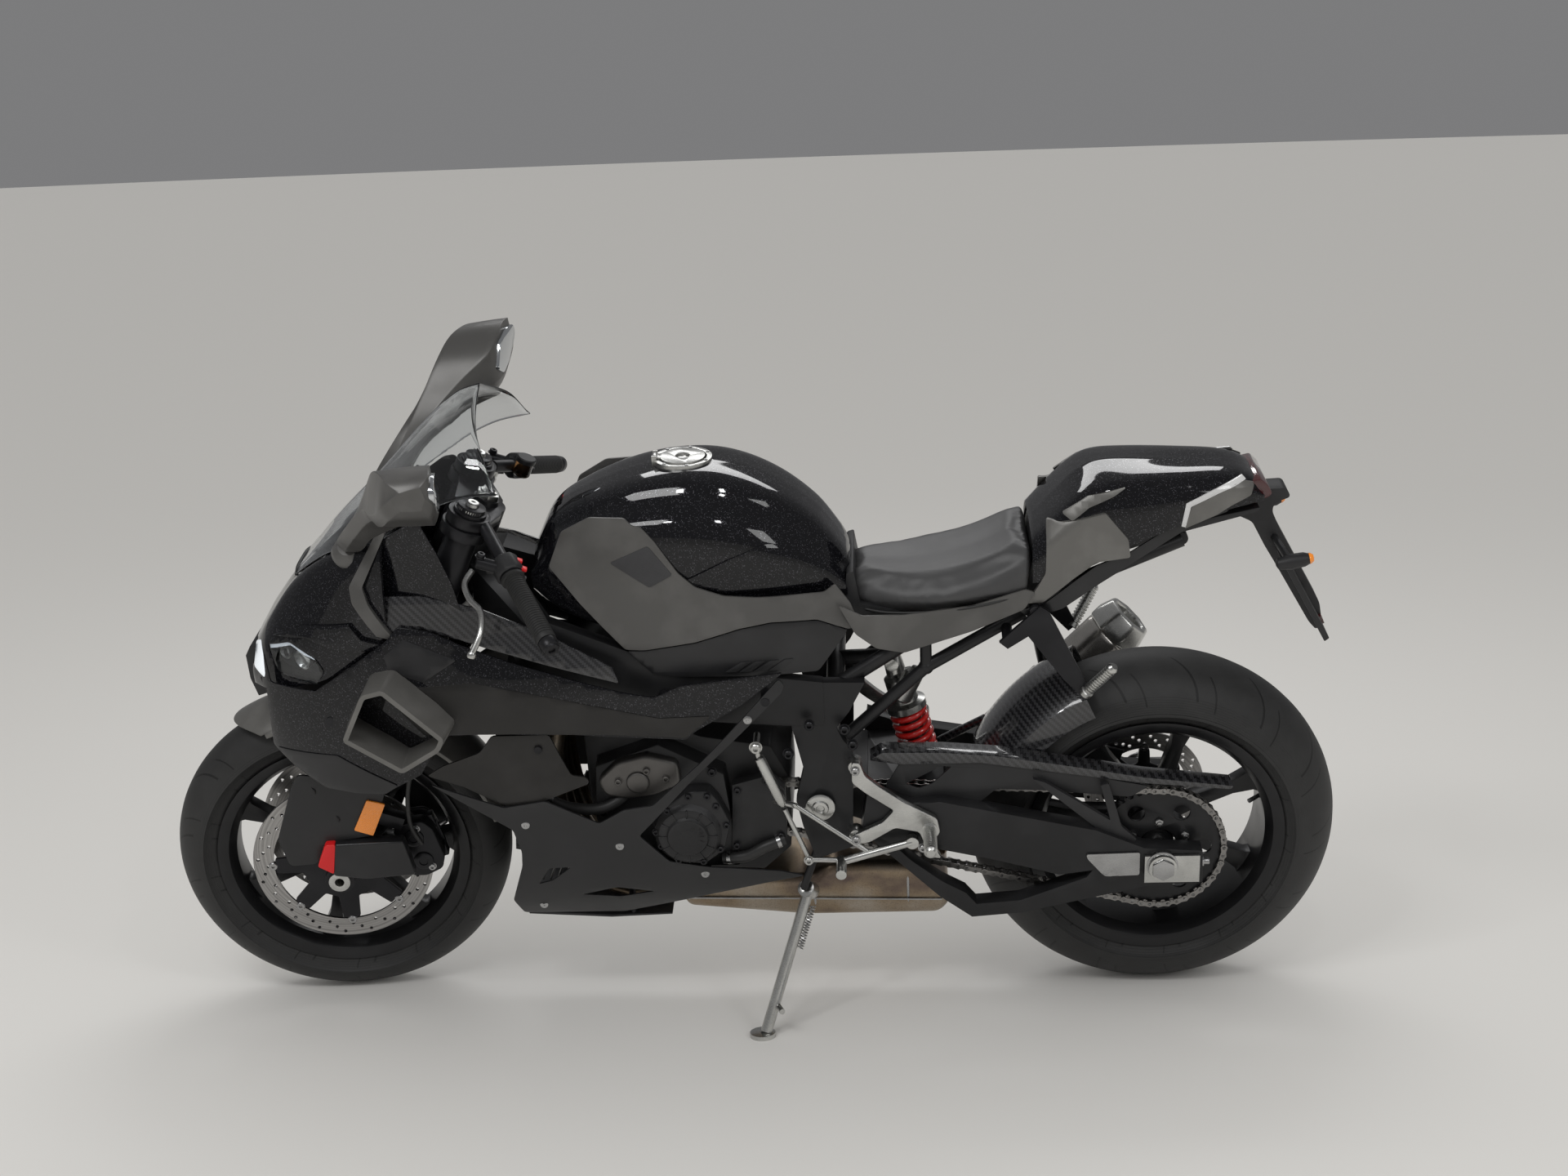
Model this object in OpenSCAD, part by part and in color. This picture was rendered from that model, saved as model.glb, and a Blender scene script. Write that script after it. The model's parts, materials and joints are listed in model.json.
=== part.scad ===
// Sport bike with full fairing, parked on its side stand.
// Lengths in millimetres. Front towards -X, left side towards -Y, +Z up.
// Everything is drawn upright and straight ahead, then leaned on to the stand.

/* [Stance] */
// Lean to the left on the side stand
lean_deg = 11.4; // [8:0.1:14]
// Bars turned to the left at rest
steer_rest_deg = 6.5; // [0:0.5:10]

/* [Steering] */
// Middle of the steering head, along the bike
head_x = -452; // [-480:1:-430]
// Middle of the steering head, above the floor
head_z = 860; // [845:1:875]
// Steering head angle from upright
rake_deg = 23.6; // [22:0.1:25]
// Fork legs ahead of the steering axis
fork_offset = 28; // [24:1:34]
// Between the fork leg centres
fork_spacing = 214; // [206:1:226]
// Outer fork tube radius
fork_r = 28; // [26:0.5:30]
// Half span over the bar ends
bar_reach = 366; // [350:1:385]

/* [Rear suspension] */
// Swingarm pivot along the bike
pivot_x = 144; // [125:1:160]
// Swingarm pivot above the floor
pivot_z = 435; // [420:1:450]
// Pivot to rear axle
swingarm_len = 595; // [570:1:620]

/* [Wheels] */
// Front tyre outer radius
front_r = 299; // [290:1:305]
// Front tyre width
front_w = 120; // [114:1:126]
// Rear tyre outer radius
rear_r = 322; // [312:1:328]
// Rear tyre width
rear_w = 190; // [180:1:196]
// Bead seat radius of both rims
bead_r = 216; // [210:0.5:220]
// Spokes of each wheel
spokes = 7; // [5:1:9]
// Front disc radius
disc_r = 160; // [150:1:165]
// Rear disc radius
rear_disc_r = 110; // [105:1:120]
// Rear sprocket pitch radius
sprocket_r = 113.5; // [105:0.5:120]
// Countershaft sprocket pitch radius
drive_r = 43; // [38:0.5:46]
// Chain centre line, left of the middle
chain_y = 114; // [112:0.5:116]

/* [Bodywork] */
// Widest half width of the side fairing
fairing_half = 245; // [230:1:260]
// Panel thickness
panel_t = 4; // [3:0.5:6]
// Tank half width
tank_half = 150; // [140:1:158]
// Seat half width
seat_half = 135; // [125:1:145]
// Tail half width
tail_half = 120; // [110:1:128]
// Half span over the mirrors
mirror_reach = 424; // [405:1:440]

/* [Hidden] */
$fn = 64;

// Axles and steering geometry
front_axle_x = head_x - (head_z - front_r) * tan(rake_deg) - fork_offset / cos(rake_deg);
rear_axle_x = pivot_x + sqrt(swingarm_len * swingarm_len - (pivot_z - rear_r) * (pivot_z - rear_r));
axle_lz = (front_axle_x - head_x) * sin(rake_deg) + (front_r - head_z) * cos(rake_deg);
leg_y = fork_spacing / 2;
tube_end = axle_lz + 232.4;
// How far the rear tyre has come forward towards the pipes
tyre_dx = min(0, rear_axle_x - rear_r - 406);

// Place of the leaned bike over the row's origin
tyre_lift = (front_w + rear_w) / 4 * (1 - cos(lean_deg));
row_x = -(front_axle_x - front_r + rear_axle_x + rear_r) / 2;
row_y = (head_z + 265) * sin(lean_deg);

// How far the head, the pivot and the rear axle have moved from the places the outlines were drawn for
head_dx = head_x + 452;
head_dz = head_z - 860;
pivot_dx = pivot_x - 144;
pivot_dz = pivot_z - 435;
axle_dz = rear_r - 322;
arm_k = (rear_axle_x - pivot_x) / 584;
wide_k = fairing_half / 245;

// Share of the pivot's movement that a point of the body takes
function rear_share(x) = min(1, max(0, (x + 300) / 400));
// Body outline point [x, z] moved with head and pivot
function body_x(x) = x + head_dx + (pivot_dx - head_dx) * rear_share(x);
function body_z(x, z) = z + head_dz + (pivot_dz - head_dz) * rear_share(x);
function body_pt(p) = [body_x(p[0]), body_z(p[0], p[1])];
function body_pts(pts) = [for (p = pts) body_pt(p)];
function body_xyz(p) = [body_x(p[0]), p[1], body_z(p[0], p[2])];
// Swingarm outline point moved with pivot and axle
function arm_share(x) = (x - 144) / 584;
function arm_pt(p) = [pivot_x + (p[0] - 144) * arm_k,
  p[1] + pivot_dz + (axle_dz - pivot_dz) * arm_share(p[0])];
function arm_pts(pts) = [for (p = pts) arm_pt(p)];
// Smooth curve through table rows
function curve(a, b, c, d, t) = 0.5 * (2 * b + (c - a) * t + (2 * a - 5 * b + 4 * c - d) * t * t
  + (3 * b - a - 3 * c + d) * t * t * t);
function smooth(rows, n) = concat(
  [for (i = [0:len(rows) - 2], k = [0:n - 1])
    curve(rows[max(0, i - 1)], rows[i], rows[i + 1], rows[min(len(rows) - 1, i + 2)], k / n)],
  [rows[len(rows) - 1]]);

module rest() {
  translate([row_x, row_y, tyre_lift]) rotate([lean_deg, 0, 0]) children();
}

// Steering group: z along the steering axis, x to the rear
module steer() {
  rest() translate([head_x, 0, head_z]) rotate([0, rake_deg, 0]) rotate([0, 0, steer_rest_deg]) children();
}

// Upright bike places carried by the steering group
module steer_bike() {
  steer() rotate([0, -rake_deg, 0]) translate([-head_x, 0, -head_z]) children();
}

module front_hub() {
  steer() translate([-fork_offset, 0, axle_lz]) rotate([90, 0, 0]) children();
}

module rear_hub() {
  rest() translate([rear_axle_x, 0, rear_r]) rotate([90, 0, 0]) children();
}

module both() {
  children();
  mirror([0, 1, 0]) children();
}

// Plate with a side outline, from y0 to y0 + t
module plate(pts, y0, t) {
  translate([0, y0 + t, 0]) rotate([90, 0, 0]) linear_extrude(t) polygon(pts);
}

module cross_bar(p, r, y0, y1) {
  translate([p[0], y1, p[1]]) rotate([90, 0, 0]) cylinder(h = y1 - y0, r = r);
}

// z turned to run from p to q
module along(p, q) {
  d = q - p;
  translate(p) rotate([0, acos(d[2] / norm(d)), atan2(d[1], d[0])]) children();
}

module rod(p, q, r) {
  along(p, q) cylinder(h = norm(q - p), r = r);
}

// Run of straight lengths with a round knuckle at each bend
module pipe(pts, r) {
  last = len(pts) - 2;
  for (i = [0:last]) {
    u = (pts[i + 1] - pts[i]) / norm(pts[i + 1] - pts[i]);
    rod(pts[i] + u * (i == 0 ? 0 : r * 0.6), pts[i + 1] - u * (i == last ? 0 : r * 0.6), r);
  }
  for (i = [1:last]) translate(pts[i]) sphere(r = r * 1.2);
}

// Smooth tube of n sides through points, none of its lengths straight across the bike
module tube(pts, r, n) {
  line = smooth(pts, 3);
  last = len(line) - 1;
  skin([for (i = [0:last]) let (
      d = line[min(last, i + 1)] - line[max(0, i - 1)],
      t = d / norm(d),
      a = cross(t, [0, 1, 0]),
      u = a / norm(a),
      v = cross(t, u))
    [for (k = [0:n - 1]) line[i] + r * (cos(360 * k / n) * u + sin(360 * k / n) * v)]]);
}

// Closed skin over rings of points. Strip ends are for rings that are an outer and an inner line
module skin(rings, strip_ends = false) {
  n = len(rings[0]);
  m = len(rings);
  h = n / 2 - 1;
  e = (m - 1) * n;
  polyhedron(
    points = [for (r = rings) each r],
    faces = concat(
      strip_ends ? [for (i = [0:h - 1]) [i, i + 1, n - 1 - i]] : [[for (i = [0:n - 1]) i]],
      strip_ends ? [for (i = [0:h - 1]) [i + 1, n - 2 - i, n - 1 - i]] : [],
      strip_ends ? [for (i = [0:h - 1]) [e + n - 1 - i, e + i + 1, e + i]]
        : [[for (i = [n - 1:-1:0]) e + i]],
      strip_ends ? [for (i = [0:h - 1]) [e + n - 1 - i, e + n - 2 - i, e + i + 1]] : [],
      [for (j = [0:m - 2], i = [0:n - 1]) [j * n + i, (j + 1) * n + i, (j + 1) * n + (i + 1) % n]],
      [for (j = [0:m - 2], i = [0:n - 1]) [j * n + i, (j + 1) * n + (i + 1) % n, j * n + (i + 1) % n]]),
    convexity = 8);
}

// Ring at x: a section line from right to left over the top, and the same line set in by t
function ring(x, line, t) = concat(
  [for (p = line) [x, p[0], p[1]]],
  [for (i = [len(line) - 1:-1:0]) [x, set_in(line, i, t)[0], set_in(line, i, t)[1]]]);
function set_in(line, i, t) = let (
    a = line[max(0, i - 1)],
    b = line[min(len(line) - 1, i + 1)],
    d = (b - a) / norm(b - a))
  line[i] + t * [-d[1], d[0]];
function mirrored(line) = concat(line, [for (i = [len(line) - 2:-1:0]) [-line[i][0], line[i][1]]]);

// Half widths of the body side, one row for each place along the bike.
// Columns: x, then the half width at each height of side_heights.
side_heights = [190, 260, 340, 430, 520, 610, 700, 790, 870];
side_table = [
  [-830,  60,  70,  80,  95, 110, 118, 112,  95,  70],
  [-760,  90, 110, 130, 150, 165, 172, 166, 150, 120],
  [-660, 105, 140, 170, 190, 207, 214, 206, 188, 160],
  [-540, 108, 155, 190, 210, 228, 238, 226, 204, 180],
  [-400, 106, 158, 194, 212, 228, 242, 230, 200, 176],
  [-240, 102, 154, 188, 206, 218, 232, 222, 192, 168],
  [ -60,  98, 150, 182, 198, 206, 214, 208, 186, 164],
  [ 130,  94, 144, 176, 190, 194, 196, 192, 178, 158]];

// Right body side as a sheet, inset from the table by d
module side_sheet(d, t) {
  rows = smooth(side_table, 3);
  rings = [for (r = rows) ring(body_x(r[0]),
    smooth([for (k = [0:len(side_heights) - 1])
      [r[k + 1] * wide_k - d, body_z(r[0], side_heights[k])]], 2), t)];
  skin(rings);
}

// Panel cut from the body side by a side outline
module side_panel(pts, d, t) {
  intersection() {
    side_sheet(d, t);
    plate(body_pts(pts), 20, 320);
  }
}

// FRAME AND DRIVE

module head_axis() {
  translate([head_x, 0, head_z]) rotate([0, rake_deg, 0]) children();
}

module steering_head() {
  color("#2a2b2d") rest() head_axis() difference() {
    translate([0, 0, -52]) cylinder(h = 132, r = 36);
    translate([0, 0, -90]) cylinder(h = 220, r = 20.06);
  }
}

// Spars and pivot plates, one side and its mirror image
module main_frame() {
  head_block = [44, 62, 80];
  bend_block = [40, 26, 100];
  color("#2a2b2d") rest() both() difference() {
    union() {
      hull() {
        translate([head_x + 18, 6, head_z - 70]) cube(head_block);
        translate([body_x(-340), 112, body_z(-340, 690)]) cube(bend_block);
      }
      hull() {
        translate([body_x(-340), 112, body_z(-340, 690)]) cube(bend_block);
        translate([body_x(-150), 134, body_z(-150, 618)]) cube([60, 26, 92]);
      }
      hull() {
        translate([body_x(-150), 134, body_z(-150, 618)]) cube([60, 26, 92]);
        translate([body_x(96), 132, body_z(96, 596)]) cube([60, 24, 80]);
      }
      plate(body_pts([[92, 669], [146, 675], [226, 673], [199, 620], [176, 589], [186, 566], [203, 542],
        [198, 357], [134, 334], [113, 400], [103, 449], [118, 512], [101, 591]]), 132, 22);
    }
    head_axis() translate([0, 0, -120]) cylinder(h = 280, r = 35.4);
    cross_bar([pivot_x, pivot_z], 16.6, 100, 180);
  }
}

// Bars across the frame, and the side stand's pin with the lug that carries it
module frame_bars() {
  color("#2a2b2d") rest() {
    difference() {
      cross_bar([pivot_x, pivot_z], 17, -154, 154);
      cross_bar([pivot_x, pivot_z], 9, -160, 160);
    }
    cross_bar(body_pt([176, 645]), 16, -140, 140);
    cross_bar(body_pt([168, 540]), 12, -140, 140);
    rod(stand_hinge - 14 * stand_axis, stand_hinge + 24 * stand_axis, stand_pin_r);
    rod(stand_hinge + 22 * stand_axis, body_xyz([138, -145, 356]), 7);
  }
}

module subframe() {
  color("#242526") rest() both() {
    pipe([body_xyz([176, 128, 655]), body_xyz([330, 104, 744]), body_xyz([520, 80, 790]),
      body_xyz([760, 50, 876])], 13);
    pipe([body_xyz([192, 128, 560]), body_xyz([330, 104, 676]), body_xyz([496, 83, 764])], 11);
    rod(body_xyz([520, 80, 790]), body_xyz([520, 0, 790]), 11);
    rod(body_xyz([760, 50, 876]), body_xyz([760, 0, 876]), 11);
    rod(body_xyz([330, 104, 676]), body_xyz([330, 104, 744]), 10);
  }
}

module engine_body() {
  plate(body_pts([[-225, 300], [40, 285], [88, 330], [92, 400], [90, 470], [60, 530], [-60, 552],
    [-120, 578], [-262, 580], [-258, 430]]), -104, 208);
  plate(body_pts([[-222, 318], [0, 318], [-20, 500], [-130, 560], [-240, 520], [-246, 420]]), -146, 292);
  plate(body_pts([[-268, 560], [-100, 604], [-138, 716], [-300, 662]]), -104, 208);
}

module engine_block() {
  color("#4a4a4b") rest() engine_body();
}

module engine_covers() {
  color("#2c2c2d") rest() difference() {
    union() {
      // generator cover on the left
      cross_bar(body_pt([-84, 403]), 58, -172, -140);
      cross_bar(body_pt([-84, 403]), 50, -188, -172);
      cross_bar(body_pt([-84, 403]), 34, -194, -188);
      // countershaft cover on the left, outside the chain
      plate(body_pts([[-12, 352], [58, 346], [84, 372], [84, 470], [58, 498], [-6, 480]]), -150, 22);
      // clutch cover on the right
      cross_bar(body_pt([-4, 408]), 76, 100, 164);
      cross_bar(body_pt([-4, 408]), 62, 164, 178);
      // crank cover on the right
      cross_bar(body_pt([-150, 400]), 54, 140, 170);
      // head cover
      plate(body_pts([[-304, 655], [-136, 711], [-146, 744], [-300, 698]]), -98, 196);
    }
    engine_body();
  }
}

module radiator() {
  color("#1c1d1e") rest() {
    plate(body_pts([[-412, 470], [-376, 462], [-346, 690], [-384, 698]]), -168, 336);
    plate(body_pts([[-398, 340], [-362, 332], [-352, 440], [-390, 446]]), -112, 224);
    both() plate(body_pts([[-408, 500], [-366, 496], [-350, 660], [-392, 664]]), 160, 26);
    both() rod(body_xyz([-386, 80, 484]), body_xyz([-374, 80, 424]), 8);
    both() rod(body_xyz([-366, 84, 640]), body_xyz([-291, 84, 640]), 15);
  }
}

module exhaust_pipes() {
  color("#8c7660") rest() {
    for (y = [-84, -28, 28, 84])
      tube([body_xyz([-262, y, 604]), body_xyz([-312, y, 566]), body_xyz([-324, y * 0.95, 430]),
        body_xyz([-286, y * 0.86, 290]), body_xyz([-200, y * 0.8, 230]), body_xyz([-104, y * 0.8, 226])],
        19, 16);
    translate([tyre_dx, 0, 0]) tube([body_xyz([340, 60, 226]), body_xyz([376, 130, 240]),
      body_xyz([400, 196, 290]), body_xyz([424, 214, 322])], 26, 16);
  }
}

// Collector and catalyst box under the engine
module collector() {
  color("#8c7660") rest() plate(body_pts([[-110, 196], [110, 172], [352 + tyre_dx, 172],
    [372 + tyre_dx, 206], [300 + tyre_dx, 280], [150, 280], [120, 256], [-110, 256]]), -88, 186);
}

module silencer() {
  inlet = body_xyz([420 + tyre_dx, 214, 318]);
  outlet = body_xyz([712, 222, 612]);
  l = norm(outlet - inlet);
  color("#a9a7a2") rest() along(inlet, outlet) rotate_extrude()
    polygon([[0, 0], [30, 0], [40, 40], [54, 74], [54, l - 40], [47, l], [36, l], [36, l - 90],
      [0, l - 90]]);
  color("#a9a7a2") rest() rod(body_xyz([556, 180, 500]), body_xyz([500, 88, 786]), 8);
}

// TANK, SEAT AND TAIL

// Columns: x, top height, crown half width, shoulder half width and height, skirt half width and height
tank_table = [
  [-328,  884,  40,  84, 862,  90, 822],
  [-296,  944,  56, 106, 892, 108, 800],
  [-240,  980,  74, 128, 920, 124, 776],
  [-160, 1010,  86, 144, 934, 138, 760],
  [ -80, 1024,  90, 150, 934, 142, 752],
  [   0, 1020,  88, 148, 924, 138, 752],
  [  80,  990,  80, 136, 900, 124, 756],
  [ 150,  938,  70, 112, 868, 106, 764],
  [ 192,  884,  60,  96, 836,  94, 772],
  [ 206,  858,  54,  86, 822,  88, 774]];

module fuel_tank() {
  k = tank_half / 150;
  rows = smooth(tank_table, 3);
  color("#0d0d0f") rest() difference() {
    skin([for (r = rows) let (x = body_x(r[0]), dz = body_z(r[0], 0),
        half = smooth([[r[5] * k - 34, r[6]], [r[5] * k, r[6] + 26], [r[3] * k, r[4]],
          [r[2] * k, r[1] - 12], [0, r[1]]], 3))
      [for (p = mirrored(half)) [x, p[0], p[1] + dz]]]);
    // filler well
    translate([body_x(-70), 0, body_z(-70, 992)]) cylinder(h = 60, r = 50);
  }
}

module filler_ring() {
  color("#b9bbbd") rest() translate([body_x(-70), 0, body_z(-70, 992)]) difference() {
    cylinder(h = 36, r = 49.5);
    translate([0, 0, 22]) cylinder(h = 20, r = 41);
    translate([0, 0, 6]) cylinder(h = 40, r = 24);
    // hinge gap at the front
    translate([-60, -16, 24]) cube([30, 32, 30]);
  }
  // hinge ears and pin
  color("#b9bbbd") rest() translate([body_x(-70), 0, body_z(-70, 992)]) {
    for (y = [-15.5, 11.5]) translate([-51, y, 18]) cube([8, 4, 25]);
    translate([-47, 15, 38]) rotate([90, 0, 0]) cylinder(h = 30, r = 2);
  }
}

module fuel_lid() {
  color("#1b1b1d") rest() translate([body_x(-70), 0, body_z(-70, 992)]) difference() {
    union() {
      translate([0, 0, 26]) cylinder(h = 12, r = 38);
      translate([-47, -9, 32]) cube([20, 18, 6]);
      translate([-47, 9, 38]) rotate([90, 0, 0]) cylinder(h = 18, r = 4.5);
    }
    translate([0, 0, 34]) cylinder(h = 10, r = 12);
    translate([-47, 20, 38]) rotate([90, 0, 0]) cylinder(h = 40, r = 2.06);
  }
}

module tank_sides() {
  color("#35363a") rest() both() {
    intersection() {
      skin([for (r = smooth([[-300, 132, 146], [-200, 150, 160], [-80, 160, 166], [60, 154, 164],
          [160, 130, 146], [236, 110, 126]], 3))
        ring(body_x(r[0]), smooth([[r[2] + 2, body_z(r[0], 668)], [r[2], body_z(r[0], 740)],
          [r[1], body_z(r[0], 840)], [r[1] - 10, body_z(r[0], 985)]], 3), panel_t)]);
      plate(body_pts([[-290, 905], [-262, 968], [-176, 950], [-80, 862], [10, 836], [176, 830], [216, 812],
        [212, 772], [150, 694], [-126, 699], [-178, 756]]), 60, 140);
    }
  }
}

// Columns: x, half width, top height, bottom height
seat_table = [
  [208,  80, 834, 778],
  [240,  96, 832, 776],
  [290, 118, 830, 778],
  [360, 134, 838, 784],
  [420, 135, 854, 794],
  [470, 131, 876, 804],
  [505, 125, 898, 812]];

module seat() {
  k = seat_half / 135;
  color("#3a3a3c") rest() skin([for (r = smooth(seat_table, 2))
    [for (p = smooth([[-r[1] * k * 0.82, r[3]], [-r[1] * k, r[3] + 16], [-r[1] * k * 0.93, r[2] - 14],
        [-r[1] * k * 0.6, r[2]], [0, r[2] - 2], [r[1] * k * 0.6, r[2]], [r[1] * k * 0.93, r[2] - 14],
        [r[1] * k, r[3] + 16], [r[1] * k * 0.82, r[3]]], 2))
      [body_x(r[0]), -p[0], p[1] + body_z(r[0], 0)]]]);
}

// Columns: x, half width, bottom height, top height
tail_table = [
  [508, 118, 832,  914],
  [550, 121, 838,  962],
  [610, 120, 862,  990],
  [690, 112, 900,  999],
  [770, 100, 928,  999],
  [840,  84, 944,  992],
  [900,  62, 948,  976],
  [936,  40, 950,  960]];

module tail_cowl() {
  k = tail_half / 120;
  color("#0d0d0f") rest() skin([for (r = smooth(tail_table, 3))
    ring(body_x(r[0]), [for (p = mirrored(smooth([[r[1] * k, r[2]], [r[1] * k * 0.98, (r[2] + r[3]) / 2],
        [r[1] * k * 0.8, r[3] - 6], [0, r[3]]], 3))) [p[0], p[1] + body_z(r[0], 0)]], panel_t + 2)], true);
}

module tail_sides() {
  k = tail_half / 120;
  color("#3b3c3e") rest() both() {
    plate_pts = [[512, 776], [560, 806], [668, 860], [760, 906], [880, 934], [886, 946], [770, 934],
      [690, 906], [610, 868], [550, 846], [510, 838]];
    intersection() {
      skin([for (r = [[500, 122, 100], [600, 120, 96], [700, 112, 84], [800, 98, 66], [900, 66, 40]])
        ring(body_x(r[0]), [[r[2] * k, body_z(r[0], 760)], [r[1] * k - 2, body_z(r[0], 860)],
          [r[1] * k - 2, body_z(r[0], 960)]], panel_t)]);
      plate(body_pts(plate_pts), 10, 130);
    }
  }
  color("#1d1d1e") rest() plate(body_pts([[505, 806], [620, 852], [760, 898], [880, 930], [884, 938],
    [700, 900], [505, 836]]), -72, 144);
}

module tail_light() {
  color("#401014") rest() {
    plate(body_pts([[884, 938], [930, 950], [940, 962], [926, 970], [880, 962]]), -52, 104);
    both() plate(body_pts([[846, 930], [900, 936], [924, 948], [900, 956], [850, 946]]), 50, 10);
  }
}

module plate_holder() {
  color("#1b1b1c") rest() difference() {
    union() {
      plate(body_pts([[858, 924], [930, 946], [940, 934], [912, 880], [1006, 706], [994, 690], [972, 706],
        [896, 852], [872, 900]]), -26, 52);
      plate(body_pts([[922, 850], [930, 852], [1010, 700], [1002, 694]]), -84, 168);
      both() rod(body_xyz([926, 20, 856]), body_xyz([932, 150, 862]), 7);
      both() rod(body_xyz([908, 132, 862]), body_xyz([966, 132, 872]), 13);
    }
    for (y = [-60, 60]) rod(body_xyz([940, y, 764]), body_xyz([990, y, 790]), 3.5);
  }
}

// FRONT BODYWORK

// Columns: x, centre top height, mid half width, mid height, edge half width, edge height
nose_table = [
  [-824, 738,  62, 720,  90, 668],
  [-780, 796, 100, 770, 138, 690],
  [-730, 842, 124, 812, 166, 718],
  [-670, 868, 140, 846, 180, 742],
  [-610, 862, 150, 884, 184, 776],
  [-560, 846, 158, 906, 186, 800]];

module nose_cowl() {
  color("#0d0d0f") rest() skin([for (r = smooth(nose_table, 3))
    ring(body_x(r[0]), [for (p = mirrored(smooth([[r[4], r[5]],
        [(r[4] + r[2]) / 2 + 14, (r[5] + r[3]) / 2], [r[2], r[3]], [0, r[1]]], 3)))
      [p[0], p[1] + body_z(r[0], 0)]], panel_t + 3)], true);
}

module air_intake() {
  color("#141415") rest() difference() {
    union() {
      plate(body_pts([[-844, 704], [-834, 722], [-720, 722], [-670, 704], [-670, 652], [-740, 644],
        [-800, 636], [-832, 626], [-842, 660]]), -58, 116);
      both() plate(body_pts([[-806, 690], [-720, 704], [-670, 694], [-670, 646], [-796, 648]]), 56, 60);
    }
    plate(body_pts([[-860, 694], [-780, 692], [-760, 666], [-790, 652], [-860, 646]]), -48, 96);
  }
}

module headlamps() {
  color("#c9d2da") rest() both() intersection() {
    skin([for (r = smooth(nose_table, 2)) if (r[0] > -804 && r[0] < -650)
      ring(body_x(r[0]), [[r[4] + 3, body_z(r[0], r[5])],
        [(r[4] + r[2]) / 2 + 19, body_z(r[0], (r[5] + r[3]) / 2)], [r[2] + 3, body_z(r[0], r[3])]], 34)]);
    plate(body_pts([[-794, 762], [-764, 716], [-690, 698], [-670, 730], [-680, 752], [-740, 776]]), 60, 140);
  }
}

// Columns: x, centre top height, mid half width, mid height, edge half width, edge height
screen_table = [
  [-700,  870,  60,  866,  86, 850],
  [-640,  930,  96,  908, 130, 880],
  [-560,  996, 120,  968, 164, 920],
  [-480, 1056, 136, 1022, 186, 974],
  [-410, 1102, 146, 1062, 200, 1016],
  [-386, 1112, 150, 1070, 206, 1030]];

module windscreen() {
  // the lower rear corners sweep back past the top
  sweep = 52;
  color("#9fb4c4", 0.4) rest() skin([for (r = smooth(screen_table, 3))
    [for (q = ring(0, mirrored(smooth([[r[4], r[5]], [r[2], r[3]], [0, r[1]]], 4)), 3.5))
      [body_x(r[0]) + sweep * pow(max(0, (r[0] + 700) / 314), 4) * pow(abs(q[1]) / 206, 3),
        q[1], q[2] + body_z(r[0], 0)]]], true);
}

module dash() {
  color("#101112") rest() {
    plate(body_pts([[-572, 958], [-562, 973], [-522, 1002], [-514, 996], [-550, 950]]), -60, 120);
    both() rod(body_xyz([-554, 54, 958]), body_xyz([-604, 150, 848]), 9);
    plate(body_pts([[-640, 742], [-612, 742], [-548, 946], [-562, 960], [-640, 830]]), -10, 20);
    rod(body_xyz([-612, -168, 842]), body_xyz([-612, 168, 842]), 8);
  }
}

module mirrors() {
  k = mirror_reach - 424;
  color("#36373a") rest() both() {
    pipe([body_xyz([-580, 168, 905]), body_xyz([-552, 214 + k / 2, 1000]),
      body_xyz([-496, 300 + k, 1092])], 9);
    rod(body_xyz([-580, 150, 885]), body_xyz([-580, 172, 912]), 18);
    skin([for (r = [[296, -506, -462, 1066, 1112], [330, -506, -446, 1062, 1148],
        [372, -496, -440, 1078, 1160], [408, -484, -442, 1100, 1156], [424, -470, -446, 1116, 1144]])
      let (y = r[0] + k)
      [for (p = [[r[1], r[3] + 20], [r[1] + 14, r[4] - 8], [r[2] - 6, r[4]], [r[2], r[3] + 20],
          [r[2] - 8, r[3]], [r[1] + 12, r[3]]])
        [body_x(p[0]), y, body_z(p[0], p[1])]]]);
  }
}

module side_fairings() {
  color("#0d0d0f") rest() both() {
    side_panel([[-786, 752], [-776, 700], [-692, 700], [-560, 792], [-541, 814], [-488, 806], [-437, 782],
      [-359, 753], [-254, 720], [-175, 696], [-122, 684], [-80, 701], [92, 714], [20, 661], [-56, 620],
      [-73, 605], [-259, 628], [-394, 637], [-476, 635], [-520, 560], [-596, 514], [-694, 516],
      [-746, 546], [-788, 580]], 0, panel_t);
  }
}

module winglets() {
  y0 = 300 * wide_k;
  color("#3a3b3d") rest() both() {
    difference() {
      plate(body_pts([[-626, 664], [-584, 748], [-550, 757], [-458, 666], [-468, 640], [-532, 604]]), y0, 6);
      plate(body_pts([[-590, 668], [-566, 728], [-488, 656], [-530, 624]]), y0 - 2, 10);
    }
    // upper and lower blades
    hull() {
      translate([body_x(-590), 206 * wide_k, body_z(-590, 722)]) cube([90, 2, 7]);
      translate([body_x(-584), y0 + 2, body_z(-584, 742)]) cube([60, 2, 7]);
    }
    hull() {
      translate([body_x(-610), 214 * wide_k, body_z(-610, 622)]) cube([130, 2, 7]);
      translate([body_x(-576), y0 + 2, body_z(-576, 626)]) cube([86, 2, 7]);
    }
  }
}

module mid_fairings() {
  color("#2b2c2f") rest() both() {
    side_panel([[-513, 552], [-483, 572], [-418, 597], [-396, 630], [-300, 628], [-271, 539], [-242, 522],
      [-316, 492], [-346, 478], [-392, 484], [-453, 527]], 9, panel_t);
  }
}

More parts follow.
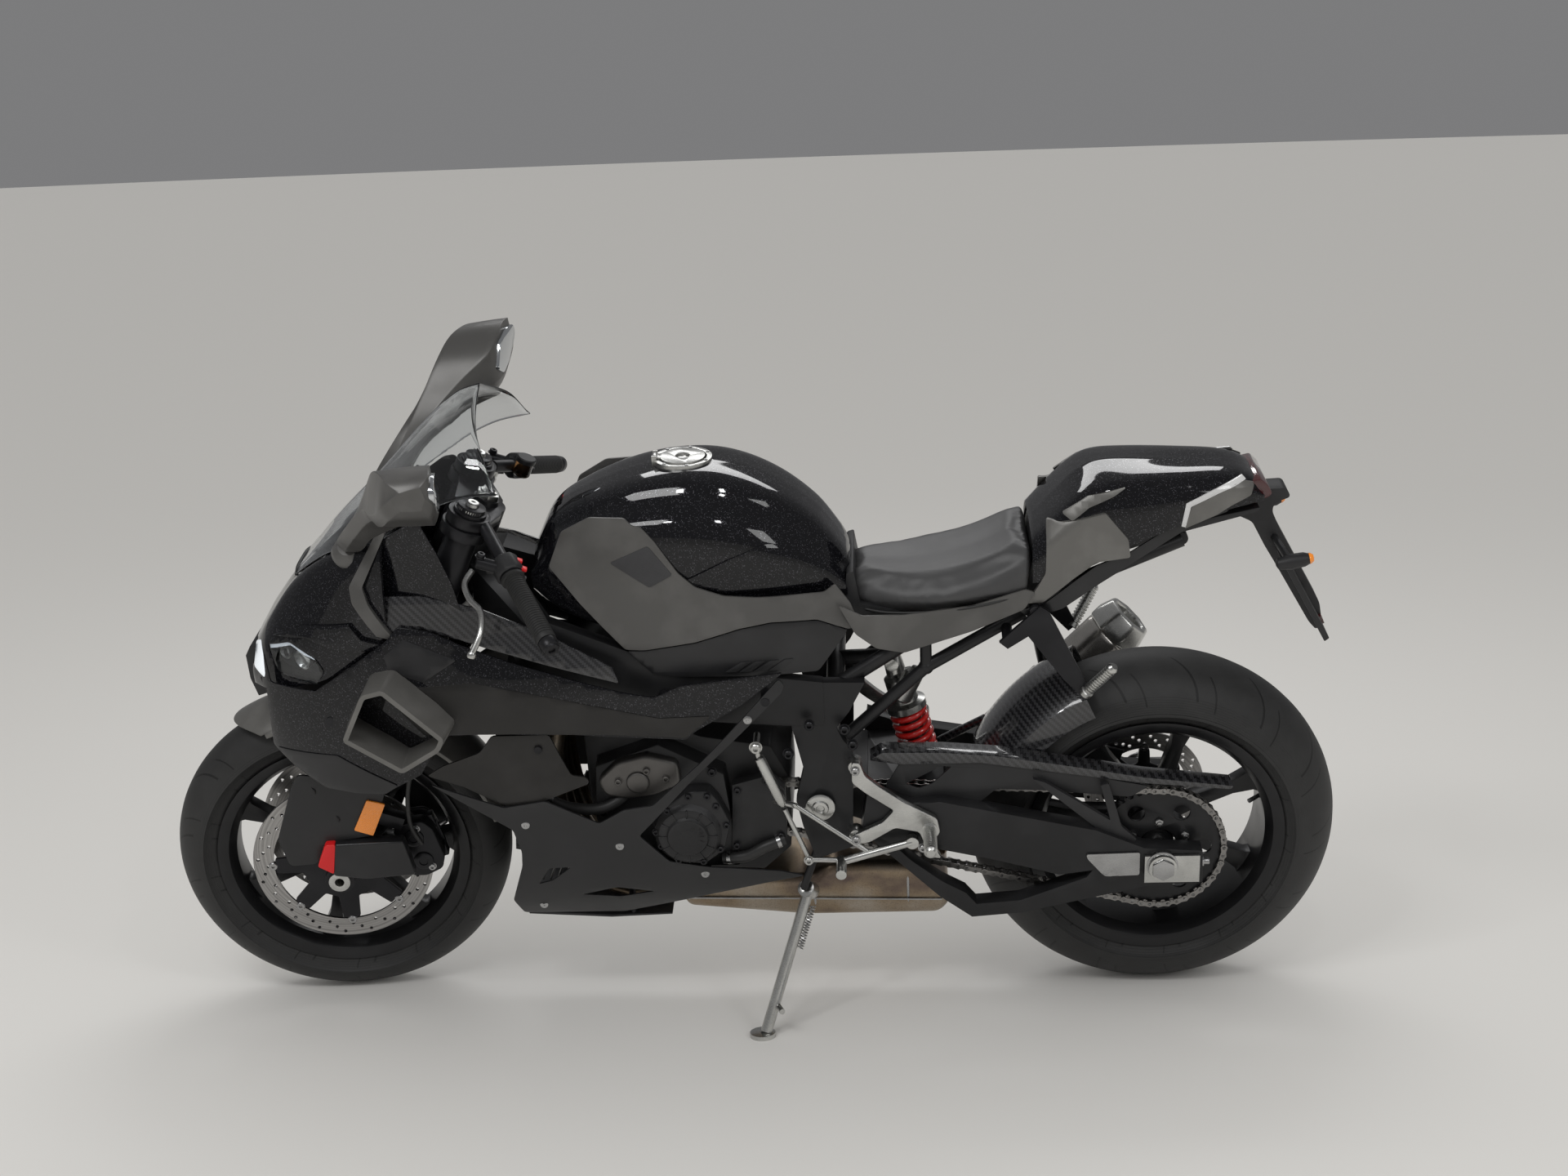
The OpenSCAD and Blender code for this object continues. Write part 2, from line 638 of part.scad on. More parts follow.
module belly_pan() {
  color("#1a1a1b") rest() {
    both() {
      side_panel([[-508, 536], [-391, 482], [-320, 492], [-233, 440], [-189, 466], [-139, 472], [-51, 556],
        [84, 702], [93, 690], [88, 677], [-52, 538], [-81, 507], [-167, 410], [-119, 350], [-49, 333],
        [70, 318], [112, 304], [49, 290], [-52, 262], [-124, 238], [-214, 206], [-392, 214], [-403, 262],
        [-374, 353], [-371, 385], [-381, 434]], 4, panel_t);
    }
    // floor of the pan
    plate(body_pts([[-388, 200], [-240, 190], [-130, 194], [-130, 198], [-240, 195], [-388, 206]]),
      -104, 208);
  }
}

module cockpit_panels() {
  color("#202124") rest() both() side_panel([[-602, 798], [-602, 864], [-500, 864], [-400, 836], [-290, 786],
    [-190, 734], [-178, 704], [-290, 738], [-400, 772], [-500, 806]], 14, panel_t);
}

// Posts that hold the panels off the frame, radiator and engine. Columns: x, z, inner y, outer y, radius
stay_table = [
  [-380, 690, 172, 226, 9],
  [-110, 664, 150, 212, 9],
  [-668, 650, 100, 211, 9],
  [-380, 540, 172, 218, 8],
  [-320, 600, 212, 234, 7],
  [-386, 476, 150, 212, 8],
  [ -60, 300, 140, 162, 8],
  [ -60, 300, 100, 141, 6],
  [  60, 662, 150, 198, 8],
  [-100, 780, 120, 155, 8],
  [  90, 780, 110, 148, 8],
  [-205, 712, 134, 174, 7]];

module fairing_stays() {
  color("#202123") rest() both() {
    for (s = stay_table)
      cross_bar(body_pt([s[0], s[1]]), s[4], s[2], s[3] * (s[3] > 200 ? wide_k : 1));
    // tank rests on the frame, floor of the pan hangs from the engine
    rod(body_xyz([-120, 142, 698]), body_xyz([-120, 124, 792]), 8);
    rod(body_xyz([-200, 96, 326]), body_xyz([-200, 96, 192]), 6);
  }
}

// REAR END

module swingarm() {
  color("#222325") rest() difference() {
    union() {
      difference() {
        plate(arm_pts([[214, 396], [226, 474], [300, 446], [348, 451], [614, 389], [698, 352], [797, 345],
          [799, 283], [700, 276], [488, 227], [402, 220], [346, 263]]), -170, 34);
        plate(arm_pts([[392, 268], [474, 292], [610, 310], [600, 296], [486, 252], [410, 246]]), -180, 60);
      }
      plate(arm_pts([[214, 396], [226, 474], [300, 446], [614, 389], [698, 352], [797, 345], [799, 283],
        [700, 276], [488, 300], [346, 330]]), 126, 32);
      plate(arm_pts([[212, 362], [222, 440], [300, 434], [360, 420], [366, 372], [300, 352]]), -138, 266);
      plate(arm_pts([[144, 407], [144, 463], [226, 452], [226, 372]]), -96, 192);
      cross_bar([pivot_x, pivot_z], 28, -98, 98);
      cross_bar([pivot_x, pivot_z], 24, 96, 131);
      // paddock stand spool blocks
      both() cross_bar(arm_pt([640, 304]), 14, 150, 176);
    }
    cross_bar([pivot_x, pivot_z], 17, -140, 140);
    cross_bar([rear_axle_x, rear_r], 14, -200, 200);
    both() cross_bar(arm_pt([640, 304]), 4, 140, 190);
  }
}

module rear_axle() {
  color("#b5b7b9") rest() difference() {
    union() {
      cross_bar([rear_axle_x, rear_r], 14, -178, 172);
      cross_bar([rear_axle_x, rear_r], 24, -190, -171);
      cross_bar([rear_axle_x, rear_r], 22, 159, 182);
      both() plate([for (p = [[-30, -26], [-30, 26], [64, 26], [64, -26]])
        [rear_axle_x + p[0], rear_r - 8 + p[1]]], 171, 7);
    }
    cross_bar([rear_axle_x, rear_r], 9, -200, 200);
  }
}

module shock() {
  top = body_xyz([272, 0, 648]);
  low = [pivot_x + 184, 0, pivot_z - 10];
  d = low - top;
  color("#b52a1e") rest() {
    rod(top + d * 0.28, top + d * 0.80, 34);
    rod(top, low, 20);
    rod(top + d * 0.20, top + d * 0.29, 37);
    rod(top + [40, -34, -18], top + [12, -30, -74], 18);
    rod(top + [20, -34, -40], top + [0, 0, -30], 9);
    rod(top + [0, -40, 0], top + [0, 40, 0], 12);
    rod(top, body_xyz([178, 0, 646]), 14);
  }
}

// Loop around the two sprockets, as a side shape grown by g
module chain_shape(g) {
  hull() {
    translate([rear_axle_x, rear_r]) circle(r = sprocket_r + g);
    translate(body_pt([40, 424])) circle(r = drive_r + g);
  }
}

module chain() {
  color("#77787a") rest() translate([0, 9 - chain_y, 0]) rotate([90, 0, 0]) linear_extrude(18) difference() {
    chain_shape(8);
    chain_shape(-8);
  }
}

module chain_guard() {
  color("#232427") rest() {
    plate(arm_pts([[226, 520], [284, 532], [419, 521], [696, 484], [846, 462], [846, 456], [711, 453],
      [558, 457], [460, 467], [418, 438], [380, 432], [330, 470]]), -144, 4);
    plate(arm_pts([[284, 532], [419, 521], [696, 484], [846, 462], [846, 458], [696, 480], [419, 517],
      [284, 528]]), -142, 36);
    plate(arm_pts([[330, 470], [380, 432], [420, 438], [420, 426], [330, 430]]), -146, 8);
  }
}

module hugger() {
  r0 = rear_r + 24;
  w = rear_w / 2 + 4;
  color("#26272a") rest() {
    translate([rear_axle_x, 0, rear_r]) rotate([0, -114, 0]) rotate([90, 0, 0]) rotate_extrude(angle = 40)
      difference() {
        translate([rear_r - 50, -w - 4]) square([78, 2 * w + 8]);
        intersection() {
          translate([rear_r - 60, -w]) square([84, 2 * w]);
          translate([r0 - 150, 0]) circle(r = 150);
        }
        difference() {
          translate([rear_r - 70, -w - 10]) square([120, 2 * w + 20]);
          translate([r0 - 150, 0]) circle(r = 154.5);
        }
      }
    both() rod([rear_axle_x - 0.866 * (rear_r + 14), 60, rear_r + 0.5 * (rear_r + 14)],
      arm_xyz([340, 88, 424]), 8);
  }
}
function arm_xyz(p) = [arm_pt([p[0], p[2]])[0], p[1], arm_pt([p[0], p[2]])[1]];

module rear_caliper() {
  color("#1f2022") rest() difference() {
    translate([rear_axle_x, 0, rear_r]) rotate([0, 18, 0]) translate([-rear_disc_r - 8, 88, -10])
      cube([56, 42, 74]);
    translate([0, 112, 0]) rotate([90, 0, 0]) translate([rear_axle_x, rear_r, 0])
      cylinder(h = 16, r = rear_disc_r + 6);
  }
}

module peg_hangers() {
  color("#9a9c9f") rest() both() {
    plate(body_pts([[196, 540], [214, 540], [216, 470], [330, 438], [346, 420], [340, 352], [322, 350],
      [300, 398], [206, 390], [196, 400]]), 174, 8);
    cross_bar(body_pt([204, 520]), 12, 150, 176);
    cross_bar(body_pt([204, 410]), 12, 150, 176);
    // pillion hangers
    plate(body_pts([[452, 732], [520, 796], [534, 786], [604, 640], [590, 628], [560, 660], [500, 742],
      [466, 720]]), 126, 8);
    rod(body_xyz([512, 80, 790]), body_xyz([512, 128, 785]), 9);
    rod(body_xyz([466, 96, 744]), body_xyz([466, 128, 732]), 9);
  }
}

module foot_pegs() {
  color("#a7a9ab") rest() both() {
    cross_bar(body_pt([330, 408]), 11, 178, 268);
    cross_bar(body_pt([330, 408]), 14, 176, 190);
    rod(body_xyz([596, 130, 634]), body_xyz([640, 168, 700]), 10);
  }
}

module foot_controls() {
  color("#a2a4a6") rest() {
    // gear lever and its rod on the left
    rod(body_xyz([300, -188, 384]), body_xyz([176, -196, 352]), 7);
    rod(body_xyz([178, -190, 352]), body_xyz([178, -240, 352]), 9);
    rod(body_xyz([226, -190, 366]), body_xyz([104, -176, 452]), 4.5);
    rod(body_xyz([104, -176, 452]), body_xyz([62, -144, 446]), 5);
    rod(body_xyz([300, -178, 384]), body_xyz([300, -194, 384]), 11);
    // brake pedal on the right
    rod(body_xyz([300, 188, 384]), body_xyz([170, 200, 348]), 7);
    rod(body_xyz([172, 196, 348]), body_xyz([172, 236, 348]), 9);
    rod(body_xyz([300, 178, 384]), body_xyz([300, 194, 384]), 11);
  }
}

// STEERING GROUP

module yokes() {
  color("#202123") steer() difference() {
    union() {
      for (z = [84, -92]) translate([0, 0, z]) linear_extrude(z > 0 ? 20 : 34) union() {
        polygon([[-fork_offset - 26, -leg_y], [-fork_offset - 22, leg_y], [-fork_offset + 30, leg_y],
          [30, 30], [30, -30], [-fork_offset + 30, -leg_y]]);
        for (s = [-1, 1]) translate([-fork_offset, s * leg_y]) circle(r = fork_r + 12);
        circle(r = 36);
      }
      translate([0, 0, -92]) cylinder(h = 204, r = 20);
      translate([0, 0, 100]) cylinder(h = 14, r = 22);
    }
    for (s = [-1, 1]) translate([-fork_offset, s * leg_y, -100]) cylinder(h = 240, r = fork_r);
    translate([0, 0, -100]) cylinder(h = 240, r = 11);
  }
}

module fork_tubes() {
  color("#17181a") steer() for (s = [-1, 1]) translate([-fork_offset, s * leg_y, 0]) {
    translate([0, 0, tube_end + 12]) cylinder(h = 118 - tube_end, r = fork_r);
    translate([0, 0, 130]) cylinder(h = 8, r = fork_r - 4);
    translate([0, 0, 138]) cylinder(h = 6, r = 11);
    translate([0, 0, tube_end]) cylinder(h = 14, r = fork_r + 3);
  }
}

module fork_lowers() {
  color("#2b2c2e") steer() for (s = [-1, 1]) translate([-fork_offset, s * leg_y, 0]) difference() {
    union() {
      translate([0, 0, axle_lz + 20]) cylinder(h = tube_end - 0.4 - axle_lz - 20, r = 21.5);
      translate([0, 22, axle_lz]) rotate([90, 0, 0]) cylinder(h = 44, r = 26);
      translate([-22, -22, axle_lz]) cube([44, 44, 70]);
      // caliper lugs
      translate([10, -12, axle_lz + 40]) cube([70, 24, 24]);
      translate([10, -12, axle_lz + 128]) cube([62, 24, 24]);
      translate([0, 0, axle_lz + 36]) cylinder(h = 120, r = 23);
    }
    translate([0, 30, axle_lz]) rotate([90, 0, 0]) cylinder(h = 60, r = 12.5);
  }
}

module front_axle() {
  color("#b5b7b9") front_hub() difference() {
    union() {
      translate([0, 0, -leg_y - 24]) cylinder(h = 2 * leg_y + 48, r = 12.5);
      translate([0, 0, leg_y + 22]) cylinder(h = 7, r = 19);
      translate([0, 0, -leg_y - 29]) cylinder(h = 7, r = 19);
    }
    translate([0, 0, -leg_y - 40]) cylinder(h = 2 * leg_y + 80, r = 8);
  }
}

// Left bar from the fork clamp to its end, as a share of its length
function bar_pt(k) = [-6, leg_y + 8, 119] + k * [142, bar_reach - leg_y - 12, -57];

module handlebars() {
  color("#1c1d1f") steer() both() difference() {
    union() {
      translate([-fork_offset, leg_y, 105]) cylinder(h = 20, r = fork_r + 8);
      rod(bar_pt(0.05), bar_pt(1), 11);
      rod(bar_pt(0.98), bar_pt(1.03), 15);
      rod(bar_pt(0.37), bar_pt(0.46), 21);
    }
    translate([-fork_offset, leg_y, 90]) cylinder(h = 60, r = fork_r);
  }
}

module grips() {
  color("#141415") steer() both() difference() {
    rod(bar_pt(0.47), bar_pt(0.97), 16.5);
    rod(bar_pt(0.3), bar_pt(1.1), 11);
  }
}

module levers() {
  color("#b3b5b7") steer() both() {
    rod(bar_pt(0.41) + [-14, 0, 0], bar_pt(0.41) + [-50, 3, -4], 12);
    pipe([bar_pt(0.41) + [-50, 0, -4], bar_pt(0.55) + [-70, 0, 0], bar_pt(0.97) + [-66, 0, -2]], 6);
    translate(bar_pt(0.97) + [-66, 0, -2]) sphere(r = 8);
  }
}

module brake_reservoir() {
  color("#8a6a4a") steer() {
    translate([58, 172, 98]) cylinder(h = 36, r = 16);
    rod([58, 176, 104], bar_pt(0.41) + [10, 0, 6], 6);
  }
}

module front_fender() {
  r0 = front_r + 16;
  w = front_w / 2 + 6;
  color("#38393c") {
    front_hub() rotate([0, 0, 36]) rotate_extrude(angle = 98) difference() {
      translate([front_r - 46, -w - 4]) square([70, 2 * w + 8]);
      translate([r0 - 92, 0]) circle(r = 92);
      difference() {
        translate([front_r - 60, -w - 10]) square([120, 2 * w + 20]);
        translate([r0 - 92, 0]) circle(r = 96);
      }
    }
    // fork covers
    steer_bike() both() plate([for (p = [[-50, 204], [-40, 150], [-92, 82], [-78, 26], [-24, 13], [60, 70],
        [84, 64], [112, 180], [60, 300], [10, 310]]) [front_axle_x + p[0], front_r + p[1]]], 131, 4);
    steer() both() {
      translate([-fork_offset, leg_y, axle_lz + 150]) rotate([-90, 0, 0]) cylinder(h = 26, r = 12);
      translate([-fork_offset, leg_y - 40, axle_lz + 286]) rotate([-90, 0, 0]) cylinder(h = 20, r = 8);
      translate([-fork_offset, leg_y, axle_lz + 258]) rotate([-90, 0, 0]) cylinder(h = 26, r = 9);
    }
  }
}

module front_calipers() {
  color("#26282b") steer() translate([-fork_offset, 0, axle_lz]) both() difference() {
    rotate([0, -38, 0]) translate([118, 46, -58]) cube([66, 56, 116]);
    translate([0, 73, 0]) rotate([90, 0, 0]) cylinder(h = 16, r = disc_r + 6);
  }
}

// WHEELS, modelled about z with the left side towards +z

front_rim_half = front_w * 0.42;
rear_rim_half = rear_w * 0.44;

module rim(half, hub_half, bore) {
  difference() {
    union() {
      rotate_extrude() polygon([[bead_r - 22, -half + 24], [bead_r - 10, -half + 6], [bead_r + 9, -half],
        [bead_r + 9, -half + 5], [bead_r - 3, -half + 8], [bead_r - 12, -half + 34],
        [bead_r - 12, half - 34], [bead_r - 3, half - 8], [bead_r + 9, half - 5], [bead_r + 9, half],
        [bead_r - 10, half - 6], [bead_r - 22, half - 24]]);
      for (i = [0:spokes - 1]) rotate([0, 0, 360 / spokes * i + 22]) translate([0, 0, -14])
        linear_extrude(28) polygon([[18, -20], [80, -13], [150, -11], [bead_r - 30, -18], [bead_r - 16, -30],
          [bead_r - 16, 30], [bead_r - 30, 18], [150, 11], [80, 13], [18, 20]]);
      translate([0, 0, -hub_half]) cylinder(h = 2 * hub_half, r = 30);
      translate([0, 0, -40]) cylinder(h = 80, r = 42);
    }
    translate([0, 0, -hub_half - 1]) cylinder(h = 2 * hub_half + 2, r = bore + 0.05);
  }
}

module tyre(r, w, rim_half) {
  crown = w / 2 + 1;
  bead_half = rim_half - 8.2;
  rotate_extrude() difference() {
    intersection() {
      translate([r - crown, 0]) circle(r = crown);
      polygon([[bead_r - 2, -bead_half], [bead_r + 10, -bead_half], [bead_r + 34, -w / 2], [r + 1, -w / 2],
        [r + 1, w / 2], [bead_r + 34, w / 2], [bead_r + 10, bead_half], [bead_r - 2, bead_half]]);
    }
    intersection() {
      translate([r - crown - 2, 0]) circle(r = crown - 10);
      polygon([[bead_r - 6, -bead_half + 12], [bead_r + 30, -w / 2 + 9], [r, -w / 2 + 9], [r, w / 2 - 9],
        [bead_r + 30, w / 2 - 9], [bead_r - 6, bead_half - 12]]);
    }
  }
}

module brake_disc(r, inner, hub_r, t) {
  linear_extrude(t) difference() {
    union() {
      difference() {
        circle(r = r);
        circle(r = inner);
      }
      for (i = [0:9]) rotate(36 * i) translate([hub_r - 8, -9]) square([inner - hub_r + 14, 18]);
      circle(r = hub_r);
    }
    circle(r = 30);
    for (i = [0:19], k = [0:1]) rotate(18 * i + 9 * k)
      translate([inner + (r - inner) * (0.34 + 0.36 * k), 0]) circle(r = 3.6);
  }
}

module front_rim() {
  color("#131314") front_hub() rim(front_rim_half, 70, 12.5);
}

module front_tyre() {
  color("#1a1a1a") front_hub() tyre(front_r, front_w, front_rim_half);
}

module front_discs() {
  color("#a8aaac") front_hub() for (s = [-1, 1]) translate([0, 0, s * 65 - 2.5])
    brake_disc(disc_r, disc_r - 36, 62, 5);
}

module rear_rim() {
  color("#131314") rear_hub() rim(rear_rim_half, 108, 14);
}

module rear_tyre() {
  color("#1a1a1a") rear_hub() tyre(rear_r, rear_w, rear_rim_half);
}

module rear_disc() {
  color("#a8aaac") rear_hub() translate([0, 0, -106.5]) brake_disc(rear_disc_r, rear_disc_r - 32, 46, 5);
}

module sprocket() {
  color("#1c1c1d") rear_hub() difference() {
    union() {
      translate([0, 0, chain_y - 4]) linear_extrude(8) difference() {
        circle(r = sprocket_r - 9);
        for (i = [0:5]) rotate(60 * i) translate([sprocket_r * 0.66, 0]) circle(r = 16);
      }
      translate([0, 0, 84]) cylinder(h = chain_y - 84, r = 62);
      translate([0, 0, chain_y]) cylinder(h = 12, r = 34);
    }
    translate([0, 0, 80]) cylinder(h = 60, r = 30);
  }
}

// SIDE STAND

stand_hinge = body_xyz([117, -138, 262]);
foot_y = -282;
foot_x = stand_hinge[0] - 78;
foot_z = (-foot_y * sin(lean_deg) - tyre_lift) / cos(lean_deg);

sole = [foot_x, foot_y, foot_z];
stand_pin_r = 5;
// The stand folds back to lie along fold_to
fold_to = [0.94, -0.28, 0.19];
fold_n = cross(sole - stand_hinge, fold_to);
stand_axis = fold_n / norm(fold_n);

module side_stand() {
  color("#b7b9bb") rest() {
    difference() {
      union() {
        rod(stand_hinge, sole + [0, 0, 8], 10);
        rod(stand_hinge - 14 * stand_axis, stand_hinge + 14 * stand_axis, 15);
      }
      rod(stand_hinge - 30 * stand_axis, stand_hinge + 30 * stand_axis, stand_pin_r + 0.05);
    }
    translate(sole) rotate([-lean_deg, 0, 0]) translate([-6, 0, 0]) cylinder(h = 8, r = 22);
    rod(sole + [18, 36, 44], sole + [30, 0, 50], 5);
  }
}

steering_head();
main_frame();
frame_bars();
subframe();
engine_block();
engine_covers();
radiator();
exhaust_pipes();
collector();
silencer();
fuel_tank();
tank_sides();
filler_ring();
fuel_lid();
seat();
tail_cowl();
tail_sides();
tail_light();
plate_holder();
nose_cowl();
air_intake();
headlamps();
windscreen();
dash();
mirrors();
side_fairings();
winglets();
mid_fairings();
belly_pan();
cockpit_panels();
fairing_stays();
swingarm();
rear_axle();
shock();
chain();
chain_guard();
hugger();
rear_caliper();
peg_hangers();
foot_pegs();
foot_controls();
yokes();
fork_tubes();
fork_lowers();
front_axle();
handlebars();
grips();
levers();
brake_reservoir();
front_fender();
front_calipers();
front_rim();
front_tyre();
front_discs();
rear_rim();
rear_tyre();
rear_disc();
sprocket();
side_stand();
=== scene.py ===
"""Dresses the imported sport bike: bodywork, running gear, trim, finishes, camera and light."""

import json
import logging
import math
from dataclasses import dataclass, field
from enum import Enum
from typing import Callable, ClassVar, Sequence

import bmesh
import bpy
from mathutils import Matrix, Vector


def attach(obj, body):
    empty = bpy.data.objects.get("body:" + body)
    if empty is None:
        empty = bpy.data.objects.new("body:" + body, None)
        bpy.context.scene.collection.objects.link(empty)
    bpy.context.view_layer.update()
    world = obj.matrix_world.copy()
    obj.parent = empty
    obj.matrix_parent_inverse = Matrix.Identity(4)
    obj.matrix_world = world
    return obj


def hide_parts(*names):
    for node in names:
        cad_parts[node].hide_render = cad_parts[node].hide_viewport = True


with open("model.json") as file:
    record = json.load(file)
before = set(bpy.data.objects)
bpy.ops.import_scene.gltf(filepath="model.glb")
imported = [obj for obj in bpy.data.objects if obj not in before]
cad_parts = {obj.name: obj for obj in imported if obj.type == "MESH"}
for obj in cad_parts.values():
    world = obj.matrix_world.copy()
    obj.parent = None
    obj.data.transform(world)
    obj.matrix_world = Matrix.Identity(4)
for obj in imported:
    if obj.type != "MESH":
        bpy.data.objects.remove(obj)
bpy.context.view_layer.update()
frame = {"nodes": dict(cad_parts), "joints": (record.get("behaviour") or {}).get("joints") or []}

MM = 0.001
LOG = logging.getLogger("sport_bike")

Colour = tuple[float, float, float]
Point2 = tuple[float, float]
Point3 = tuple[float, float, float]
Outline = tuple[Point2, ...]
Table = Sequence[Sequence[float]]
Mover = Callable[[Vector], Vector]


class Body(str, Enum):
    """Rigid bodies of the frame that a piece can ride on."""

    BIKE = "body"
    STEERING = "steering"
    FRONT_WHEEL = "front_wheel"
    REAR_WHEEL = "rear_wheel"
    STAND = "side_stand"
    CAP = "fuel_cap"


# Shaders


def operation(name: str, swapped: bool = False) -> Callable[..., "Sock"]:
    """A method of Sock that adds one Math node.

    Args:
        name: the Math node's operation.
        swapped: whether the Sock is the second value, as in 1 - mask.

    Returns:
        The method.
    """
    def method(self: "Sock", other: "Sock | float" = 0.0) -> "Sock":
        """The Math node's result for this value and another."""
        first, second = (other, self) if swapped else (self, other)
        return self.shader.make("ShaderNodeMath", {"operation": name}, {0: first, 1: second})

    return method


class Sock:
    """A shader value that takes part in Python expressions.

    Comparisons give 1 or 0, a remainder is never negative, and sine takes radians.
    """

    def __init__(self, shader: "Shader", socket: bpy.types.NodeSocket) -> None:
        """Wraps a socket of a shader's tree."""
        self.shader = shader
        self.socket = socket

    __add__, __radd__ = operation("ADD"), operation("ADD", True)
    __sub__, __rsub__ = operation("SUBTRACT"), operation("SUBTRACT", True)
    __mul__, __rmul__ = operation("MULTIPLY"), operation("MULTIPLY", True)
    __truediv__, __mod__ = operation("DIVIDE"), operation("FLOORED_MODULO")
    __gt__, __lt__ = operation("GREATER_THAN"), operation("LESS_THAN")
    __abs__, floor, sine = operation("ABSOLUTE"), operation("FLOOR"), operation("SINE")
    most = operation("MAXIMUM")


Value = Sock | float | Colour | tuple[float, float, float, float]


class Shader:
    """The node tree of a material or of the world."""

    def __init__(self, owner: bpy.types.Material | bpy.types.World) -> None:
        """Empties the owner's tree."""
        owner.use_nodes = True
        self.owner = owner
        self.tree = owner.node_tree
        self.tree.nodes.clear()

    def make(self, kind: str, settings: dict[str, object] | None = None,
             inputs: dict[int | str, Value] | None = None, output: int | str = 0) -> Sock:
        """Adds a node of any type.

        Args:
            kind: the node's type name.
            settings: its properties, set first; "stops" fills a colour ramp.
            inputs: values or links for its sockets.
            output: which output to return.

        Returns:
            The chosen output.
        """
        node = self.tree.nodes.new(kind)
        for key, value in (settings or {}).items():
            if key == "stops":
                ramp = node.color_ramp.elements
                while len(ramp) < len(value):
                    ramp.new(0.5)
                for element, (place, colour) in zip(ramp, value):
                    element.position = place
                    element.color = (*colour, 1.0)
            else:
                setattr(node, key, value)
        for key, value in (inputs or {}).items():
            if isinstance(value, Sock):
                self.tree.links.new(value.socket, node.inputs[key])
            elif isinstance(value, tuple) and len(value) == 3 and len(node.inputs[key].default_value) == 4:
                node.inputs[key].default_value = (*value, 1.0)
            else:
                node.inputs[key].default_value = value
        return Sock(self, node.outputs[output])

    def place(self, scale: Point3 = (1.0, 1.0, 1.0), turn: Point3 = (0.0, 0.0, 0.0),
              centre: Point3 = (0.0, 0.0, 0.0)) -> Sock:
        """Object coordinates, moved to centre, turned and scaled.

        Args:
            scale: stretch of each axis.
            turn: turn about each axis in radians.
            centre: the point that becomes the origin.

        Returns:
            The coordinates.
        """
        raw = self.make("ShaderNodeTexCoord", output="Object")
        moved = self.make("ShaderNodeVectorMath", {"operation": "SUBTRACT"}, {0: raw, 1: centre})
        return self.make("ShaderNodeMapping", {}, {"Vector": moved, "Rotation": turn, "Scale": scale})

    def noise(self, vector: Sock, scale: float, detail: float = 3.0) -> Sock:
        """Noise from 0 to 1 at a scale per metre."""
        return self.make("ShaderNodeTexNoise", {}, {"Vector": vector, "Scale": scale, "Detail": detail}, "Fac")

    def cells(self, vector: Sock, scale: float, output: str = "Distance") -> Sock:
        """Voronoi cells at a scale per metre."""
        return self.make("ShaderNodeTexVoronoi", {}, {"Vector": vector, "Scale": scale}, output)

    def blend(self, amount: Value, first: Value, second: Value) -> Sock:
        """Mixes two colours by an amount from 0 to 1."""
        return self.make("ShaderNodeMix", {"data_type": "RGBA"}, {0: amount, 6: first, 7: second}, 2)

    def span(self, value: Sock, low: float, high: float, to_low: float, to_high: float) -> Sock:
        """Maps a value's range from low..high to another, and clamps it."""
        return self.make("ShaderNodeMapRange", {}, {0: value, 1: low, 2: high, 3: to_low, 4: to_high})

    def bump(self, height: Sock, strength: float, distance: float) -> Sock:
        """A normal from a height in units of distance metres."""
        return self.make("ShaderNodeBump", {}, {"Height": height, "Strength": strength, "Distance": distance})

    def axes(self, vector: Sock) -> tuple[Sock, Sock, Sock]:
        """The x, y and z of a vector."""
        node = self.make("ShaderNodeSeparateXYZ", {}, {0: vector}).socket.node
        return tuple(Sock(self, output) for output in node.outputs)

    def end(self, kind: str, surface: Sock) -> None:
        """Links the surface to an output node of a kind."""
        self.tree.links.new(surface.socket, self.tree.nodes.new(kind).inputs["Surface"])


@dataclass(frozen=True)
class Finish:
    """A surface finish: a base colour and gloss, with a fine grain."""

    name: str
    slot: str
    colour: Colour
    roughness: float = 0.4
    metallic: float = 0.0
    coat: float = 0.0
    made: ClassVar[dict[str, bpy.types.Material]] = {}

    def sockets(self, shader: Shader) -> dict[str, Value]:
        """Principled sockets of this finish.

        Args:
            shader: the tree to add nodes to.

        Returns:
            Socket names and values.
        """
        grain = shader.noise(shader.place(), 900.0, 4.0)
        return self.basic() | {"Roughness": grain * 0.12 + (self.roughness - 0.06)}

    def basic(self) -> dict[str, Value]:
        """The constant sockets."""
        return {"Base Color": self.colour, "Metallic": self.metallic, "Roughness": self.roughness,
                "Coat Weight": self.coat, "Coat Roughness": 0.04}

    def shade(self, share: float) -> Colour:
        """The colour, darker or lighter by a share."""
        return tuple(c * share for c in self.colour)

    def material(self) -> bpy.types.Material:
        """The material, made once.

        Returns:
            The material.
        """
        if self.name not in Finish.made:
            shader = Shader(bpy.data.materials.new(self.name))
            shader.end("ShaderNodeOutputMaterial",
                       shader.make("ShaderNodeBsdfPrincipled", {}, self.sockets(shader)))
            Finish.made[self.name] = shader.owner
        return Finish.made[self.name]


